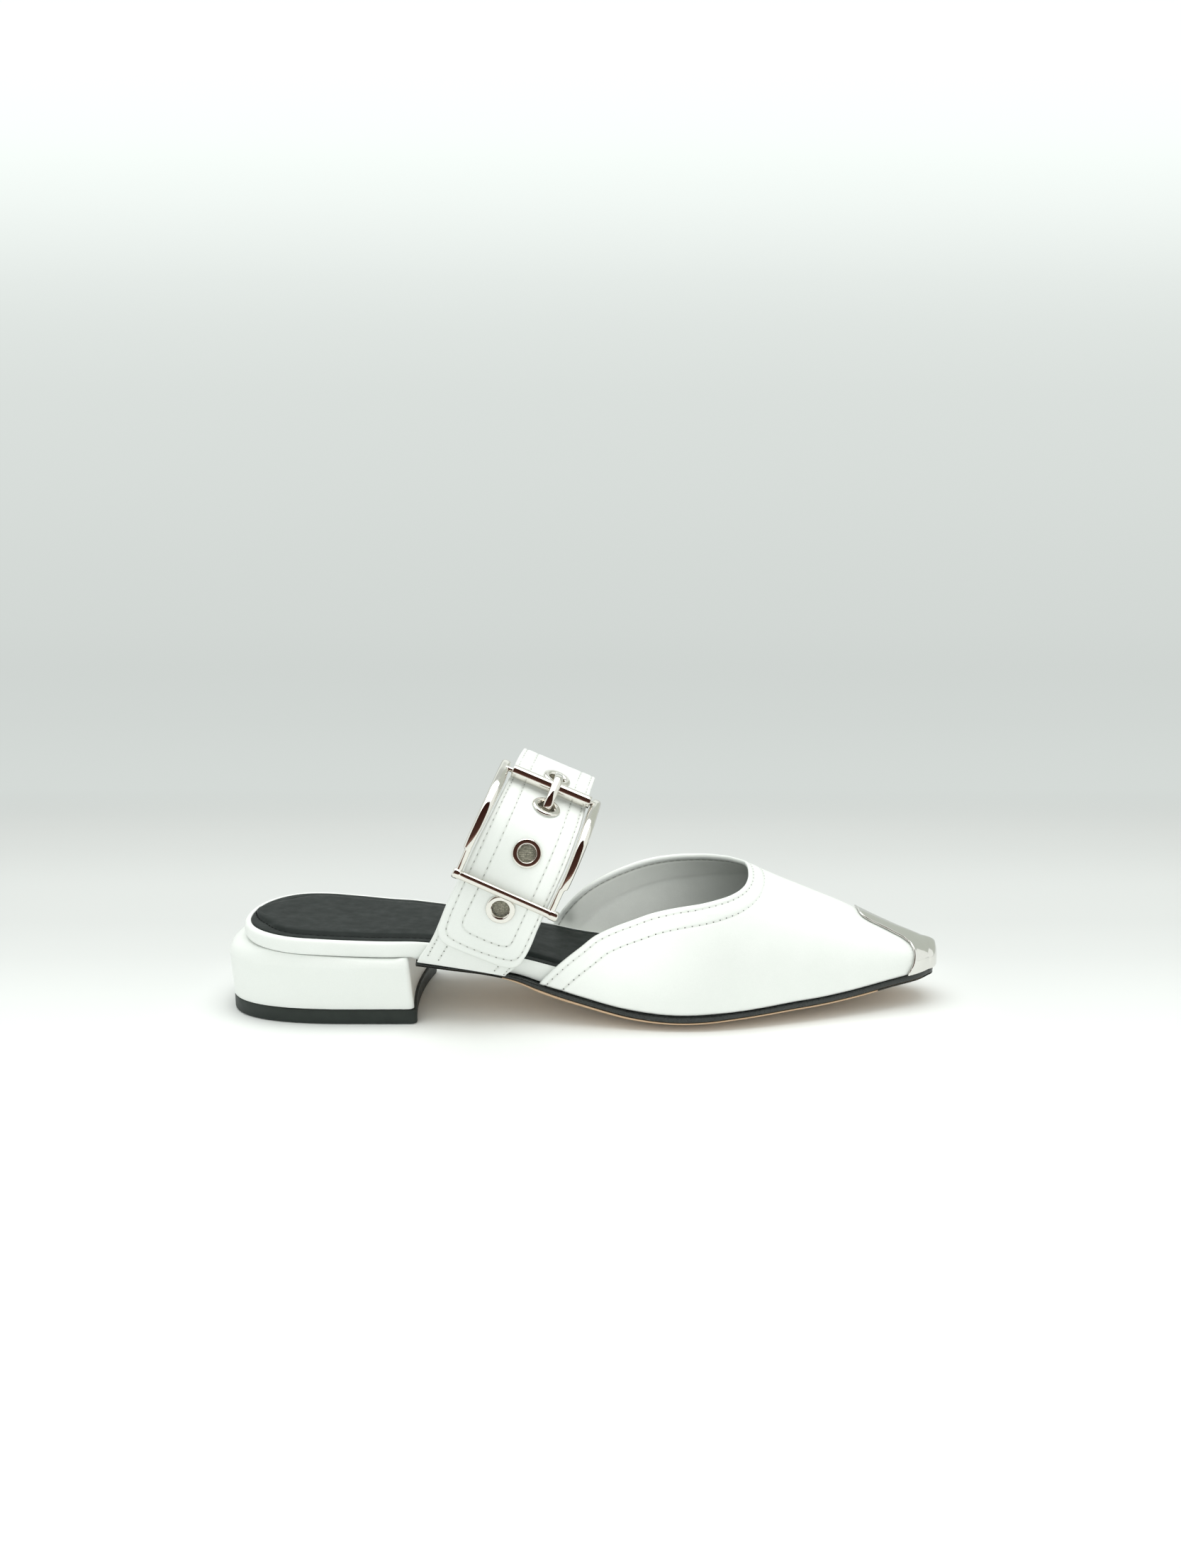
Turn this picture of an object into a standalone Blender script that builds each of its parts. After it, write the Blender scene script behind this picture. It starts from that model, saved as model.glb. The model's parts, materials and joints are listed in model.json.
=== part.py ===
"""A backless mule for the right foot, with a wide buckled strap over the instep.

Every length below is in millimetres. x runs from the back of the heel (0) to the toe, y from the outer
side of the foot (minus) to the inner side (plus), z up from the floor. The last lines move the shoe so
that the middle of its bounding box stands over the origin, and scale it to metres.
"""
import math

import bpy
import numpy as np

MM = 0.001

# ---- driving dimensions -------------------------------------------------------------------------
GAP = 0.3                # clearance between neighbouring pieces
WALL = 1.6               # leather and lining of the vamp together
TOP_PIECE_H = 5.5        # rubber under the heel
BREAST_X = 71.4          # front corners of the heel block at the floor
BREAST_LEAN = 2.0        # how far they lean back over the height of 24
BREAST_HOLLOW = 2.3      # how far the heel's front face is hollowed
SOLE_START = 72.1        # the thin sole begins at the heel breast
FLAT_FROM, FLAT_TO = 151.0, 177.0   # flat tread under the ball of the foot
SOLE_TIP_X = 265.6
TOE_X, TOE_FROM = 265.9, 254.0      # where the toe's rounding ends and begins
TOE_POWER = 2.6          # bluntness of the toe seen from above
TOE_DROP, TOE_DROP_POWER = 3.2, 2.2  # how far the ridge rounds down at the tip
PLATE_LOW, PLATE_HIGH = 0.42, 1.0  # metal toe plate, above the vamp's surface
RIM_H = 5.4              # wrapped rim of the footbed board at the heel
STRAP_LEAN = math.radians(24.5)     # the strap leans forward as it rises
STRAP_SLOPE = math.radians(23.0)    # and its width runs down toward the toe
STRAP_X, STRAP_Z = 90.0, 19.5       # middle of the strap's foot on the outer side
INNER_LEG_SHIFT = 0.8    # the inner leg sits this much nearer the toe
OVERLAY = (-1.3, 0.0)    # sewn top layer of the strap, measured from its own outer face
BAND = (-3.0, -1.6)      # under layer of the strap
EYELET_IN, EYELET_OUT, EYELET_HOLE = 2.9, 5.2, 3.8
ROLLER_S, ROLLER_T, ROLLER_R, ROLLER_BORE = 82.1, 3.05, 2.35, 1.25
ROLLER_FROM, ROLLER_TO = -14.4, 16.0
PIN_R = 0.9
PRONG_HALF, PRONG_THICK = 1.65, 1.05  # half its width and half its thickness
BAR_S, BAR_T, BAR_R = 35.2, 2.3, 1.6   # crossbar at the buckle's lower end


def table(columns, rows):
    """A small table of sections as named columns."""
    data = np.array(rows, float)
    return {name: data[:, k] for k, name in enumerate(columns.split())}


def smooth(xs, ys, x):
    """A soft curve through the given points, level in overshoot, held at its ends."""
    xs, ys = np.asarray(xs, float), np.asarray(ys, float)
    x = np.clip(np.asarray(x, float), xs[0], xs[-1])
    step = np.diff(xs)
    slope = np.diff(ys) / step
    m = np.empty(len(xs))
    m[0], m[-1] = slope[0], slope[-1]
    m[1:-1] = (slope[:-1] * step[1:] + slope[1:] * step[:-1]) / (step[:-1] + step[1:])
    k = np.clip(np.searchsorted(xs, x, side="right") - 1, 0, len(xs) - 2)
    h = step[k]
    u = (x - xs[k]) / h
    return ((2 * u**3 - 3 * u**2 + 1) * ys[k] + (u**3 - 2 * u**2 + u) * h * m[k]
            + (3 * u**2 - 2 * u**3) * ys[k + 1] + (u**3 - u**2) * h * m[k + 1])


def at(tab, name, x):
    return smooth(tab["x"], tab[name], x)


# The last: outer and inner side of the feather line, its height, the ridge, and how full each side is.
LAST = table("x lateral medial feather ridge_y ridge_z lean full_lat full_med bulge", [
    (100, -27.4, 26.0, 18.2, 4.0, 104.0, 1.00, 0.95, 0.92, 0.5),
    (116, -28.2, 27.4, 14.7, 4.5, 94.0, 1.00, 0.95, 0.92, 0.9),
    (132, -31.6, 30.4, 10.8, 5.0, 85.0, 1.00, 0.95, 0.90, 1.3),
    (148, -34.7, 33.6, 7.4, 5.2, 76.5, 1.00, 0.93, 0.88, 1.6),
    (164, -36.4, 36.4, 5.9, 5.4, 68.0, 1.00, 0.91, 0.86, 1.7),
    (178, -36.0, 37.4, 6.2, 5.5, 60.6, 1.02, 0.89, 0.84, 1.6),
    (192, -33.4, 36.0, 7.0, 5.4, 52.5, 1.05, 0.87, 0.82, 1.4),
    (206, -29.4, 32.8, 8.1, 5.2, 46.2, 1.08, 0.84, 0.80, 1.2),
    (220, -24.8, 28.4, 8.9, 4.8, 40.7, 1.12, 0.80, 0.77, 1.0),
    (234, -19.5, 23.2, 10.2, 4.3, 34.8, 1.20, 0.73, 0.72, 0.7),
    (246, -14.6, 18.6, 11.7, 3.8, 29.2, 1.32, 0.64, 0.64, 0.4),
    (256, -10.6, 15.0, 12.8, 3.4, 24.9, 1.40, 0.58, 0.58, 0.2),
    (262, -7.8, 12.8, 13.4, 3.2, 22.9, 1.40, 0.55, 0.55, 0.1),
])
# Top edge of the vamp: side is -1 at the outer feather line, 0 on the ridge, +1 at the inner feather line.
TOPLINE = table("side x", [
    (-1.00, 116.0), (-0.95, 121.0), (-0.90, 126.0), (-0.85, 131.1), (-0.80, 136.0), (-0.75, 142.4),
    (-0.70, 149.6), (-0.65, 156.6), (-0.60, 164.8), (-0.55, 173.4), (-0.475, 182.1), (-0.40, 187.5),
    (-0.33, 190.6), (-0.24, 192.7), (-0.15, 193.6), (0.0, 193.8), (0.15, 192.5), (0.26, 188.4),
    (0.367, 182.9), (0.466, 174.7), (0.536, 166.1), (0.603, 157.4), (0.672, 148.7), (0.742, 139.9),
    (0.791, 134.0), (0.847, 128.2), (0.906, 122.9), (1.0, 116.5),
])
# Rear edge of the toe plate, the same on both sides of the ridge.
PLATE_EDGE = table("side x", [
    (0.0, 236.4), (0.10, 236.4), (0.19, 236.6), (0.244, 237.8), (0.271, 239.5), (0.291, 242.4),
    (0.318, 245.5), (0.358, 248.5), (0.404, 251.5), (0.459, 253.2), (0.509, 254.3), (0.60, 255.0),
    (0.70, 255.3), (0.79, 255.2), (0.884, 254.8), (0.948, 254.2), (1.0, 252.8),
])
# Thin sole: its sides, the height of its upper edge, the edge thickness of the black band and of the
# tan outsole, and in the middle the height of the underside and the two thicknesses.
SOLE = table("x lateral medial edge_z band tan floor tan_mid band_mid", [
    (72, -29.7, 28.9, 22.95, 0.35, 0.3, 21.3, 0.9, 0.7),
    (85, -29.2, 28.3, 21.1, 0.45, 0.3, 19.1, 1.2, 0.7),
    (98, -28.2, 27.1, 19.1, 0.6, 0.3, 16.8, 1.2, 0.9),
    (104, -27.9, 26.9, 18.1, 0.95, 0.4, 15.4, 1.3, 1.1),
    (108, -27.8, 26.8, 17.2, 1.25, 0.6, 14.1, 1.4, 1.2),
    (116, -28.4, 27.4, 14.5, 1.65, 0.9, 10.7, 1.8, 1.6),
    (124, -30.1, 29.0, 12.45, 1.9, 0.95, 7.5, 2.0, 1.7),
    (132, -31.8, 30.6, 10.5, 1.9, 0.85, 4.7, 2.2, 1.7),
    (140, -33.4, 32.2, 8.6, 1.9, 0.8, 2.3, 2.2, 1.7),
    (146, -34.5, 33.3, 7.4, 2.0, 0.75, 0.8, 2.2, 1.7),
    (151, -35.3, 34.4, 6.6, 2.0, 0.7, 0.0, 2.2, 1.7),
    (164, -36.6, 36.6, 5.6, 2.1, 0.6, 0.0, 2.2, 1.7),
    (177, -36.3, 37.6, 5.8, 2.0, 0.6, 0.0, 2.2, 1.7),
    (184, -35.2, 37.2, 6.2, 1.9, 0.6, 0.4, 2.2, 1.7),
    (192, -33.6, 36.2, 6.7, 1.8, 0.6, 1.1, 2.2, 1.7),
    (206, -29.6, 33.0, 7.8, 1.9, 0.6, 2.4, 2.2, 1.7),
    (220, -25.0, 28.6, 8.6, 1.9, 0.6, 3.9, 2.2, 1.7),
    (234, -19.7, 23.4, 9.9, 1.9, 0.6, 6.2, 1.9, 1.6),
    (246, -14.8, 18.8, 11.4, 1.9, 0.5, 8.2, 1.6, 1.4),
    (256, -10.8, 15.2, 12.5, 2.0, 0.4, 9.6, 1.1, 1.6),
    (262, -8.0, 13.0, 13.1, 2.0, 0.35, 10.35, 0.7, 1.6),
])
# Insole: half width where it is seen, and the height of its edge.
INSOLE_W = table("x half", [
    (33, 29.8), (43, 29.3), (53, 28.3), (63, 27.5), (72, 25.9), (90, 25.0), (105, 24.4), (112, 24.4),
    (116, 24.8), (122, 25.8), (133, 27.4),
])
INSOLE_Z = table("x z", [
    (0, 33.9), (12, 33.6), (20, 33.2), (25, 32.8), (33, 32.2), (40, 31.7), (48, 31.1), (56, 30.6),
    (65, 30.2), (72, 29.7), (90, 27.0), (105, 24.0), (112, 22.5), (120, 20.6), (133, 17.6), (142, 15.8),
    (150, 14.0), (165, 12.4), (180, 12.3), (200, 13.2), (220, 14.3), (240, 15.5), (256, 16.4), (262, 16.7),
])
# How far the insole stays inside the feather line in the forefoot.
MARGIN = table("x inset", [(118, 4.2), (133, 4.2), (148, 3.7), (164, 3.3), (192, 3.1), (234, 3.0), (262, 2.8)])
# How far the board's rim stands out past the insole.
OVERHANG = table("x out", [(0, 2.3), (20, 2.1), (33, 2.0), (64, 2.0), (73, 1.55), (81, 1.75),
                           (90, 2.0), (98, 2.2), (106, 1.9), (112, 1.2), (117, 0.7), (123, 0.45), (135, 0.4),
                           (262, 0.5)])
# Rim of the board from the bottom up: part of the overhang, and height below the insole's edge.
RIM = table("out down", [(0.6, 5.4), (0.9, 4.0), (1.0, 2.2), (0.9, 0.6), (0.5, -0.3), (0.0, -0.2),
                         (0.0, 0.9)])
# Strap path seen along its own lean: y, and the climb from its foot on the outer side to the inner one.
PATH = table("y climb", [
    (-31.2, -6), (-31.8, 0), (-33.9, 13), (-35.6, 27), (-36.3, 39), (-35.8, 49.8), (-33.7, 55.1),
    (-30.2, 59.8), (-25.7, 63.4), (-20.5, 65.7), (-9.5, 69.2), (1.5, 72.6), (8.5, 74.7), (15, 75.7),
    (22, 75.2), (28.6, 72.0), (33.4, 66.2), (36.0, 58.0), (36.9, 46), (36.2, 32), (34.3, 16), (31.8, 0),
    (31.6, -6),
])
# Edges of the two strap layers across the strap, by distance from the strap's foot.
OVERLAY_EDGE = table("x heelward toeward", [
    (7.8, -9.0, 9.5), (8.4, -11.8, 12.3), (9.6, -13.9, 14.5), (11.6, -15.3, 15.9), (14.5, -15.9, 16.4),
    (32, -15.9, 16.0), (45, -15.75, 16.1), (52, -15.45, 16.1), (60, -15.05, 15.85), (72, -14.7, 15.7), (82, -14.4, 15.7),
    (98, -14.3, 15.7),
])
BAND_EDGE = table("x heelward toeward", [
    (-6, -17.6, 13.0), (-2.5, -17.55, 13.1), (-1, -17.45, 13.1), (0.7, -17.15, 13.2), (2.4, -16.75, 13.3),
    (5, -16.35, 13.5), (7, -16.2, 14.5), (10, -16.1, 15.5), (14, -16.2, 16.4), (23, -16.5, 16.5), (32, -16.2, 16.4), (45, -15.85, 16.25), (52, -15.55, 16.2),
    (60, -15.15, 15.95), (72, -14.8, 15.8), (82, -14.5, 15.8), (98, -14.4, 15.8),
])
EYELETS = table("along across", [(95.6, 2.0), (71.8, 1.8), (50.8, 1.7), (28.8, 1.4)])
# Buckle side bars from the lower crossbar up: outer and inner edge across the strap, and their depth.
BAR_HEELWARD = table("along outer inner low high", [
    (BAR_S - 0.4, -18.45, -16.2, 0.7, 3.3), (40, -18.45, -16.2, 0.3, 2.8), (44.4, -18.5, -16.25, 0.1, 2.6),
    (45.2, -19.2, -16.3, -0.3, 2.7), (48, -19.35, -16.25, -0.5, 2.7), (51, -19.4, -16.05, -0.5, 2.7),
    (54, -19.4, -15.9, -0.5, 2.7), (57, -19.4, -15.72, -0.5, 2.7), (60, -19.4, -15.6, -0.5, 2.8),
    (64, -19.4, -15.42, -0.5, 2.9), (69, -19.4, -15.3, -0.4, 3.2), (75, -19.4, -15.35, -0.2, 3.5),
    (80, -19.4, -15.55, 0.0, 3.75), (84, -19.35, -15.7, 0.0, 3.75), (87.3, -19.3, -15.8, 0.1, 3.5),
    (88.5, -18.95, -16.1, 0.5, 3.0), (89.1, -18.3, -16.7, 1.1, 2.4),
])
BAR_TOEWARD = table("along outer inner low high", [
    (BAR_S - 0.4, 18.8, 16.4, 0.7, 3.3), (40, 18.8, 16.4, 0.3, 2.8), (44.0, 18.8, 16.45, 0.1, 2.6),
    (44.8, 19.7, 16.65, -0.3, 2.7), (48, 19.85, 16.65, -0.5, 2.7), (51, 19.85, 16.6, -0.5, 2.7),
    (54, 19.9, 16.5, -0.5, 2.7), (57, 19.9, 16.4, -0.5, 2.7), (60, 19.93, 16.3, -0.5, 2.8),
    (64, 19.93, 16.15, -0.5, 2.9), (69, 19.95, 16.05, -0.4, 3.2), (75, 20.0, 16.1, -0.2, 3.5),
    (80, 20.1, 16.35, 0.0, 3.75), (83, 20.15, 16.6, 0.0, 3.75), (85.4, 20.15, 16.7, 0.1, 3.5),
    (86.6, 19.8, 17.0, 0.5, 3.0), (87.2, 19.1, 17.7, 1.1, 2.4),
])
# The prong, from one eyelet over the roller and down into the next.
PRONG = table("along height", [
    (95.3, -1.0), (95.25, 0.2), (94.9, 1.3), (93.9, 2.35), (92.2, 3.3), (90.0, 4.25), (87.6, 5.35), (85.4, 6.3),
    (83.4, 6.75), (81.6, 6.7), (79.8, 6.0), (78.0, 4.9), (76.0, 3.65), (74.2, 2.4), (72.9, 1.1), (72.3, 0.1), (72.15, -1.0),
])
PRONG_ACROSS = 2.0

MATERIALS = table("red green blue metallic roughness", [
    (0.86, 0.86, 0.85, 0.0, 0.38), (0.012, 0.012, 0.013, 0.0, 0.55), (0.62, 0.40, 0.22, 0.0, 0.6),
    (0.02, 0.02, 0.02, 0.0, 0.8), (0.80, 0.79, 0.78, 1.0, 0.12),
])
MATERIAL_NAMES = ("white_leather", "black_leather", "tan_leather", "black_rubber", "nickel")


# ---- mesh helpers -------------------------------------------------------------------------------
bpy.context.preferences.edit.use_global_undo = False
for old in list(bpy.data.objects):
    bpy.data.objects.remove(old, do_unlink=True)

looks = {}
for k, look_name in enumerate(MATERIAL_NAMES):
    look = bpy.data.materials.new(look_name)
    look.use_nodes = True
    shader = look.node_tree.nodes["Principled BSDF"]
    shader.inputs["Base Color"].default_value = (*[MATERIALS[c][k] for c in ("red", "green", "blue")], 1.0)
    shader.inputs["Metallic"].default_value = MATERIALS["metallic"][k]
    shader.inputs["Roughness"].default_value = MATERIALS["roughness"][k]
    looks[look_name] = look

shoe = []      # the shoe's own pieces
helpers = []   # cutters and pieces that are joined into another


def solid(name, points, faces, look_name, helper=False, sharp=40):
    """One closed piece from its points in millimetres."""
    import bmesh
    mesh = bpy.data.meshes.new(name)
    mesh.from_pydata([tuple(float(c) for c in p) for p in points], [], faces)
    work = bmesh.new()
    work.from_mesh(mesh)
    bmesh.ops.recalc_face_normals(work, faces=work.faces)
    if work.calc_volume(signed=True) < 0:
        bmesh.ops.reverse_faces(work, faces=work.faces)
    work.to_mesh(mesh)
    work.free()
    mesh.materials.append(looks[look_name])
    mesh.shade_smooth()
    mesh.set_sharp_from_angle(angle=math.radians(sharp))
    piece = bpy.data.objects.new(name, mesh)
    bpy.context.scene.collection.objects.link(piece)
    if helper:
        piece.hide_render = True
        piece.display_type = "WIRE"
        helpers.append(piece)
    else:
        shoe.append(piece)
    return piece


def stack(name, levels, spread, low, high, look_name, bows=None, fade=None, sharp=40):
    """A closed piece from plan outlines, bottom one first.

    Each level is (outer side, inner side), two rows of points from heel to toe. spread holds the
    places across the shoe, 0 at the outer side and 1 at the inner one. low and high give the heights of
    the lower and upper face at (x, y). bows moves the middle of the front end forward, level by level.
    """
    inner = spread[1:-1]
    points, rings = [], []

    def put(p):
        points.append(tuple(p))
        return len(points) - 1

    last_row = len(levels[0][0]) - 1

    def across(k, row, v):
        a, b = levels[k][0][row], levels[k][1][row]
        p = a + (b - a) * v
        if bows is not None:
            p = p + np.array([bows[k] * fade[row] * (1 - (2 * v - 1) ** 2), 0, 0])
        return p

    grids = {}
    for k in range(len(levels)):
        face = low if k == 0 else high if k == len(levels) - 1 else None
        side_a = [put(p) for p in levels[k][0]]
        side_b = [put(p) for p in levels[k][1]]
        ends = {}
        for row in (0, last_row):
            ids = []
            for v in inner:
                p = across(k, row, v)
                if face is not None:
                    p[2] = face(p[0], p[1])
                ids.append(put(p))
            ends[row] = ids
        rings.append(side_a + ends[last_row] + side_b[::-1] + ends[0][::-1])
        if face is not None:
            grid = []
            for row in range(last_row + 1):
                if row in ends:
                    mid = ends[row]
                else:
                    mid = []
                    for v in inner:
                        p = across(k, row, v)
                        p[2] = face(p[0], p[1])
                        mid.append(put(p))
                grid.append([side_a[row]] + mid + [side_b[row]])
            grids[k] = grid
    faces = []
    for one, two in zip(rings, rings[1:]):
        count = len(one)
        for m in range(count):
            n = (m + 1) % count
            faces.append((one[m], one[n], two[n], two[m]))
    for grid in grids.values():
        for a, b in zip(grid, grid[1:]):
            for m in range(len(a) - 1):
                faces.append((a[m], a[m + 1], b[m + 1], b[m]))
    return solid(name, points, faces, look_name, sharp=sharp)


def tube(name, loops, look_name, helper=False, ring=False, sharp=40):
    """A closed piece from a row of loops: capped at both ends, or joined into a ring."""
    count = len(loops[0])
    points = [p for loop in loops for p in loop]
    faces = []
    rows = len(loops)
    for k in range(rows if ring else rows - 1):
        a, b = k * count, ((k + 1) % rows) * count
        for m in range(count):
            n = (m + 1) % count
            faces.append((a + m, a + n, b + n, b + m))
    if not ring:
        faces.append(tuple(range(count)))
        faces.append(tuple(range((rows - 1) * count, rows * count)))
    return solid(name, points, faces, look_name, helper, sharp)


def superellipse(phi, power):
    """(along, across) of a rounded end at angle phi, both from 0 to 1."""
    return np.cos(phi) ** (2 / power), np.sin(phi) ** (2 / power)


# ---- plan outlines ------------------------------------------------------------------------------
def closing(x, tip):
    s = np.clip((np.asarray(x, float) - TOE_FROM) / (tip - TOE_FROM), 0, 1)
    return (1 - s ** TOE_POWER) ** (1 / TOE_POWER)


def toe_rows(tip, angles):
    return [TOE_FROM + (tip - TOE_FROM) * math.sin(math.radians(a)) ** (2 / TOE_POWER) for a in angles]


def sole_sides(x):
    """y of the sole's outer and inner side."""
    mid, shut = at(LAST, "ridge_y", x), closing(x, SOLE_TIP_X)
    return mid + (at(SOLE, "lateral", x) - mid) * shut, mid + (at(SOLE, "medial", x) - mid) * shut


def crown(x, y):
    """0 over the middle of the sole, rising to 1 at its edge."""
    a, b = sole_sides(x)
    s = np.abs(y - (a + b) / 2) / max((b - a) / 2, 0.05)
    return np.clip((min(s, 1.0) - 0.35) / 0.65, 0, 1) ** 2


def sole_face(level, x, y):
    """Height of one of the thin sole's four faces: 0 and 1 of the outsole, 2 and 3 of the black band."""
    edge = at(SOLE, "edge_z", x)
    mid = 0.0 if FLAT_FROM <= x <= FLAT_TO else max(float(at(SOLE, "floor", x)), 0.0)
    edges = (edge - at(SOLE, "band", x) - GAP - at(SOLE, "tan", x), edge - at(SOLE, "band", x) - GAP,
             edge - at(SOLE, "band", x), edge)
    mids = (mid, mid + at(SOLE, "tan_mid", x), mid + at(SOLE, "tan_mid", x) + GAP,
            mid + at(SOLE, "tan_mid", x) + GAP + at(SOLE, "band_mid", x))
    return float(mids[level] + (edges[level] - mids[level]) * crown(x, y))


SPREAD = [0, 0.09, 0.19, 0.325, 0.675, 0.81, 0.91, 1]
SOLE_ROWS = ([SOLE_START, 78, 85, 92, 99, 105, 110, 115, 120, 125, 130, 136, 142, 147, FLAT_FROM, 164,
              FLAT_TO, 182, 188, 197, 207, 220, 234, 245, TOE_FROM]
             + toe_rows(SOLE_TIP_X, (24, 43, 58, 71, 81, 86)))
SOLE_HOLLOW = -1.6


def sole_layer(name, low, high, look_name):
    sides = [sole_sides(x) for x in SOLE_ROWS]
    levels = []
    for level in (low, high):
        levels.append((
            np.array([(x, s[0], sole_face(level, x, s[0])) for x, s in zip(SOLE_ROWS, sides)]),
            np.array([(x, s[1], sole_face(level, x, s[1])) for x, s in zip(SOLE_ROWS, sides)]),
        ))
    fade = [1.0, 0.3] + [0.0] * (len(SOLE_ROWS) - 2)
    return stack(name, levels, SPREAD, lambda x, y: sole_face(low, x, y), lambda x, y: sole_face(high, x, y),
                 look_name, bows=[SOLE_HOLLOW, SOLE_HOLLOW], fade=fade)


# ---- footbed: outline of the insole -------------------------------------------------------------
HEEL_END_X, HEEL_END_FROM, HEEL_END_POWER = 7.3, 33.0, 2.25
BOARD_TIP_X = 263.0
BACK_ANGLES = (4, 13, 24, 36, 49, 62, 76)
FOOTBED_ROWS = ([HEEL_END_FROM, 43, 53, 63, 71, 73, 81, 90, 98, 105, 111, 117, 123, 130, 138, 147, 156, 166,
                 177, 188, 198, 208, 220, 233, 245, TOE_FROM] + toe_rows(BOARD_TIP_X, (28, 52, 72, 84)))


def footbed_side(x, side):
    """y of the insole's edge; side is -1 outer, +1 inner."""
    if x <= 133:
        near = side * at(INSOLE_W, "half", x)
        if x <= 120:
            return float(near)
    ridge = at(LAST, "ridge_y", x)
    feather = at(LAST, "lateral" if side < 0 else "medial", x)
    far = ridge + (feather - side * at(MARGIN, "inset", x) - ridge) * closing(x, BOARD_TIP_X)
    if x >= 133:
        return float(far)
    blend = (x - 120) / 13
    return float(near + (far - near) * blend)


def footbed_outline():
    sides = []
    for side in (-1, 1):
        row = []
        for a in BACK_ANGLES:
            along, across = superellipse(math.radians(a), HEEL_END_POWER)
            row.append((HEEL_END_FROM - (HEEL_END_FROM - HEEL_END_X) * along,
                        side * INSOLE_W["half"][0] * across))
        row += [(x, footbed_side(x, side)) for x in FOOTBED_ROWS]
        sides.append(np.array(row, float))
    return sides


def outward(sides):
    """Unit normals of the closed outline, one row a side."""
    loop = np.concatenate([sides[0], sides[1][::-1]])
    run = np.roll(loop, -1, axis=0) - np.roll(loop, 1, axis=0)
    normal = np.stack([run[:, 1], -run[:, 0]], 1)
    normal /= np.linalg.norm(normal, axis=1)[:, None]
    if normal[0, 0] > 0:
        normal = -normal
    count = len(sides[0])
    return normal[:count], normal[count:][::-1]


OUTLINE = footbed_outline()
NORMALS = outward(OUTLINE)


def footbed_ring(offset):
    """The insole's outline moved outward by offset(x, half width)."""
    half = (OUTLINE[1][:, 1] - OUTLINE[0][:, 1]) / 2
    out = []
    for side, normal in zip(OUTLINE, NORMALS):
        move = np.array([offset(x, h) for x, h in zip(side[:, 0], half)])
        out.append(side + normal * move[:, None])
    return out


def insole_z(x):
    return float(at(INSOLE_Z, "z", x))


def board_low(x, y):
    if x < 72:
        return insole_z(x) - RIM_H
    a, b = sole_sides(x)
    return sole_face(3, x, min(max(y, a), b)) + GAP + 0.12


def with_z(ring, height):
    return tuple(np.array([(p[0], p[1], height(p[0], p[1])) for p in side]) for side in ring)


def footbed_board():
    levels = []
    for k in range(len(RIM["out"])):
        part, down = RIM["out"][k], RIM["down"][k]
        ring = footbed_ring(lambda x, h: part * at(OVERHANG, "out", x) - (0.02 if k == len(RIM["out"]) - 1 else 0))

        def height(x, y):
            if down <= 0.9:
                return insole_z(x) - down
            depth = insole_z(x) - board_low(x, y)
            return insole_z(x) - depth * down / RIM_H
        levels.append(with_z(ring, height))
    return stack("footbed_board", levels, SPREAD, board_low, lambda x, y: insole_z(x) - 0.9, "white_leather")


def insole():
    steps = ((0.3, -0.6), (0.3, 0.1), (0.9, 0.4), (3.0, 0.6), (8.0, 1.3))
    levels = [with_z(footbed_ring(lambda x, h: -min(inset, 0.3 + (inset - 0.3) * h / 16)),
                     lambda x, y: insole_z(x) + rise) for inset, rise in steps]
    return stack("insole", levels, [0, 0.5, 1], lambda x, y: insole_z(x) - 0.6,
                 lambda x, y: insole_z(x) + 1.3, "black_leather", sharp=60)


# ---- heel ---------------------------------------------------------------------------------------
HEEL_FROM, HEEL_POWER = 50.0, 2.65
HEEL_ANGLES = (5, 15, 26, 38, 52, 66, 79)
HEEL_ROWS = (HEEL_FROM, 58, 66)
HEEL_CORNER = 1.8
CORNER_EASE = 1.3        # how far the front corners round back at the top
HEEL_FLARE = table("x width", [(50, 32.0), (60, 31.5), (71.7, 30.4)])
SHOULDER = table("x z", [(0, 22.0), (50, 22.0), (71.7, 21.4)])
HEEL_FADE = [0.0] * (len(HEEL_ANGLES) + 1) + [0.2, 0.7] + [1.0] * 4


def heel_outline(back, width, front):
    """Two sides of a heel section: back edge, half width by x, front corners."""
    sides = []
    for side in (-1, 1):
        row = []
        for a in HEEL_ANGLES:
            along, across = superellipse(math.radians(a), HEEL_POWER)
            row.append((HEEL_FROM - (HEEL_FROM - back) * along, side * width(HEEL_FROM) * across))
        row += [(x, side * width(x)) for x in HEEL_ROWS]
        for a in (0, 30, 60, 90):
            turn = math.radians(a)
            x = front - HEEL_CORNER + HEEL_CORNER * math.sin(turn)
            row.append((x, side * (width(x) - HEEL_CORNER + HEEL_CORNER * math.cos(turn))))
        sides.append(np.array(row, float))
    return sides


def heel_level(z):
    """Plan outline of the heel block at a height up to its shoulder."""
    flare = (z / 22.0) ** 1.6
    return heel_outline(-0.2 - 0.8 * flare,
                        lambda x: 29.1 + (float(at(HEEL_FLARE, "width", x)) - 29.1) * flare,
                        BREAST_X - BREAST_LEAN * z / 24)


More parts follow.
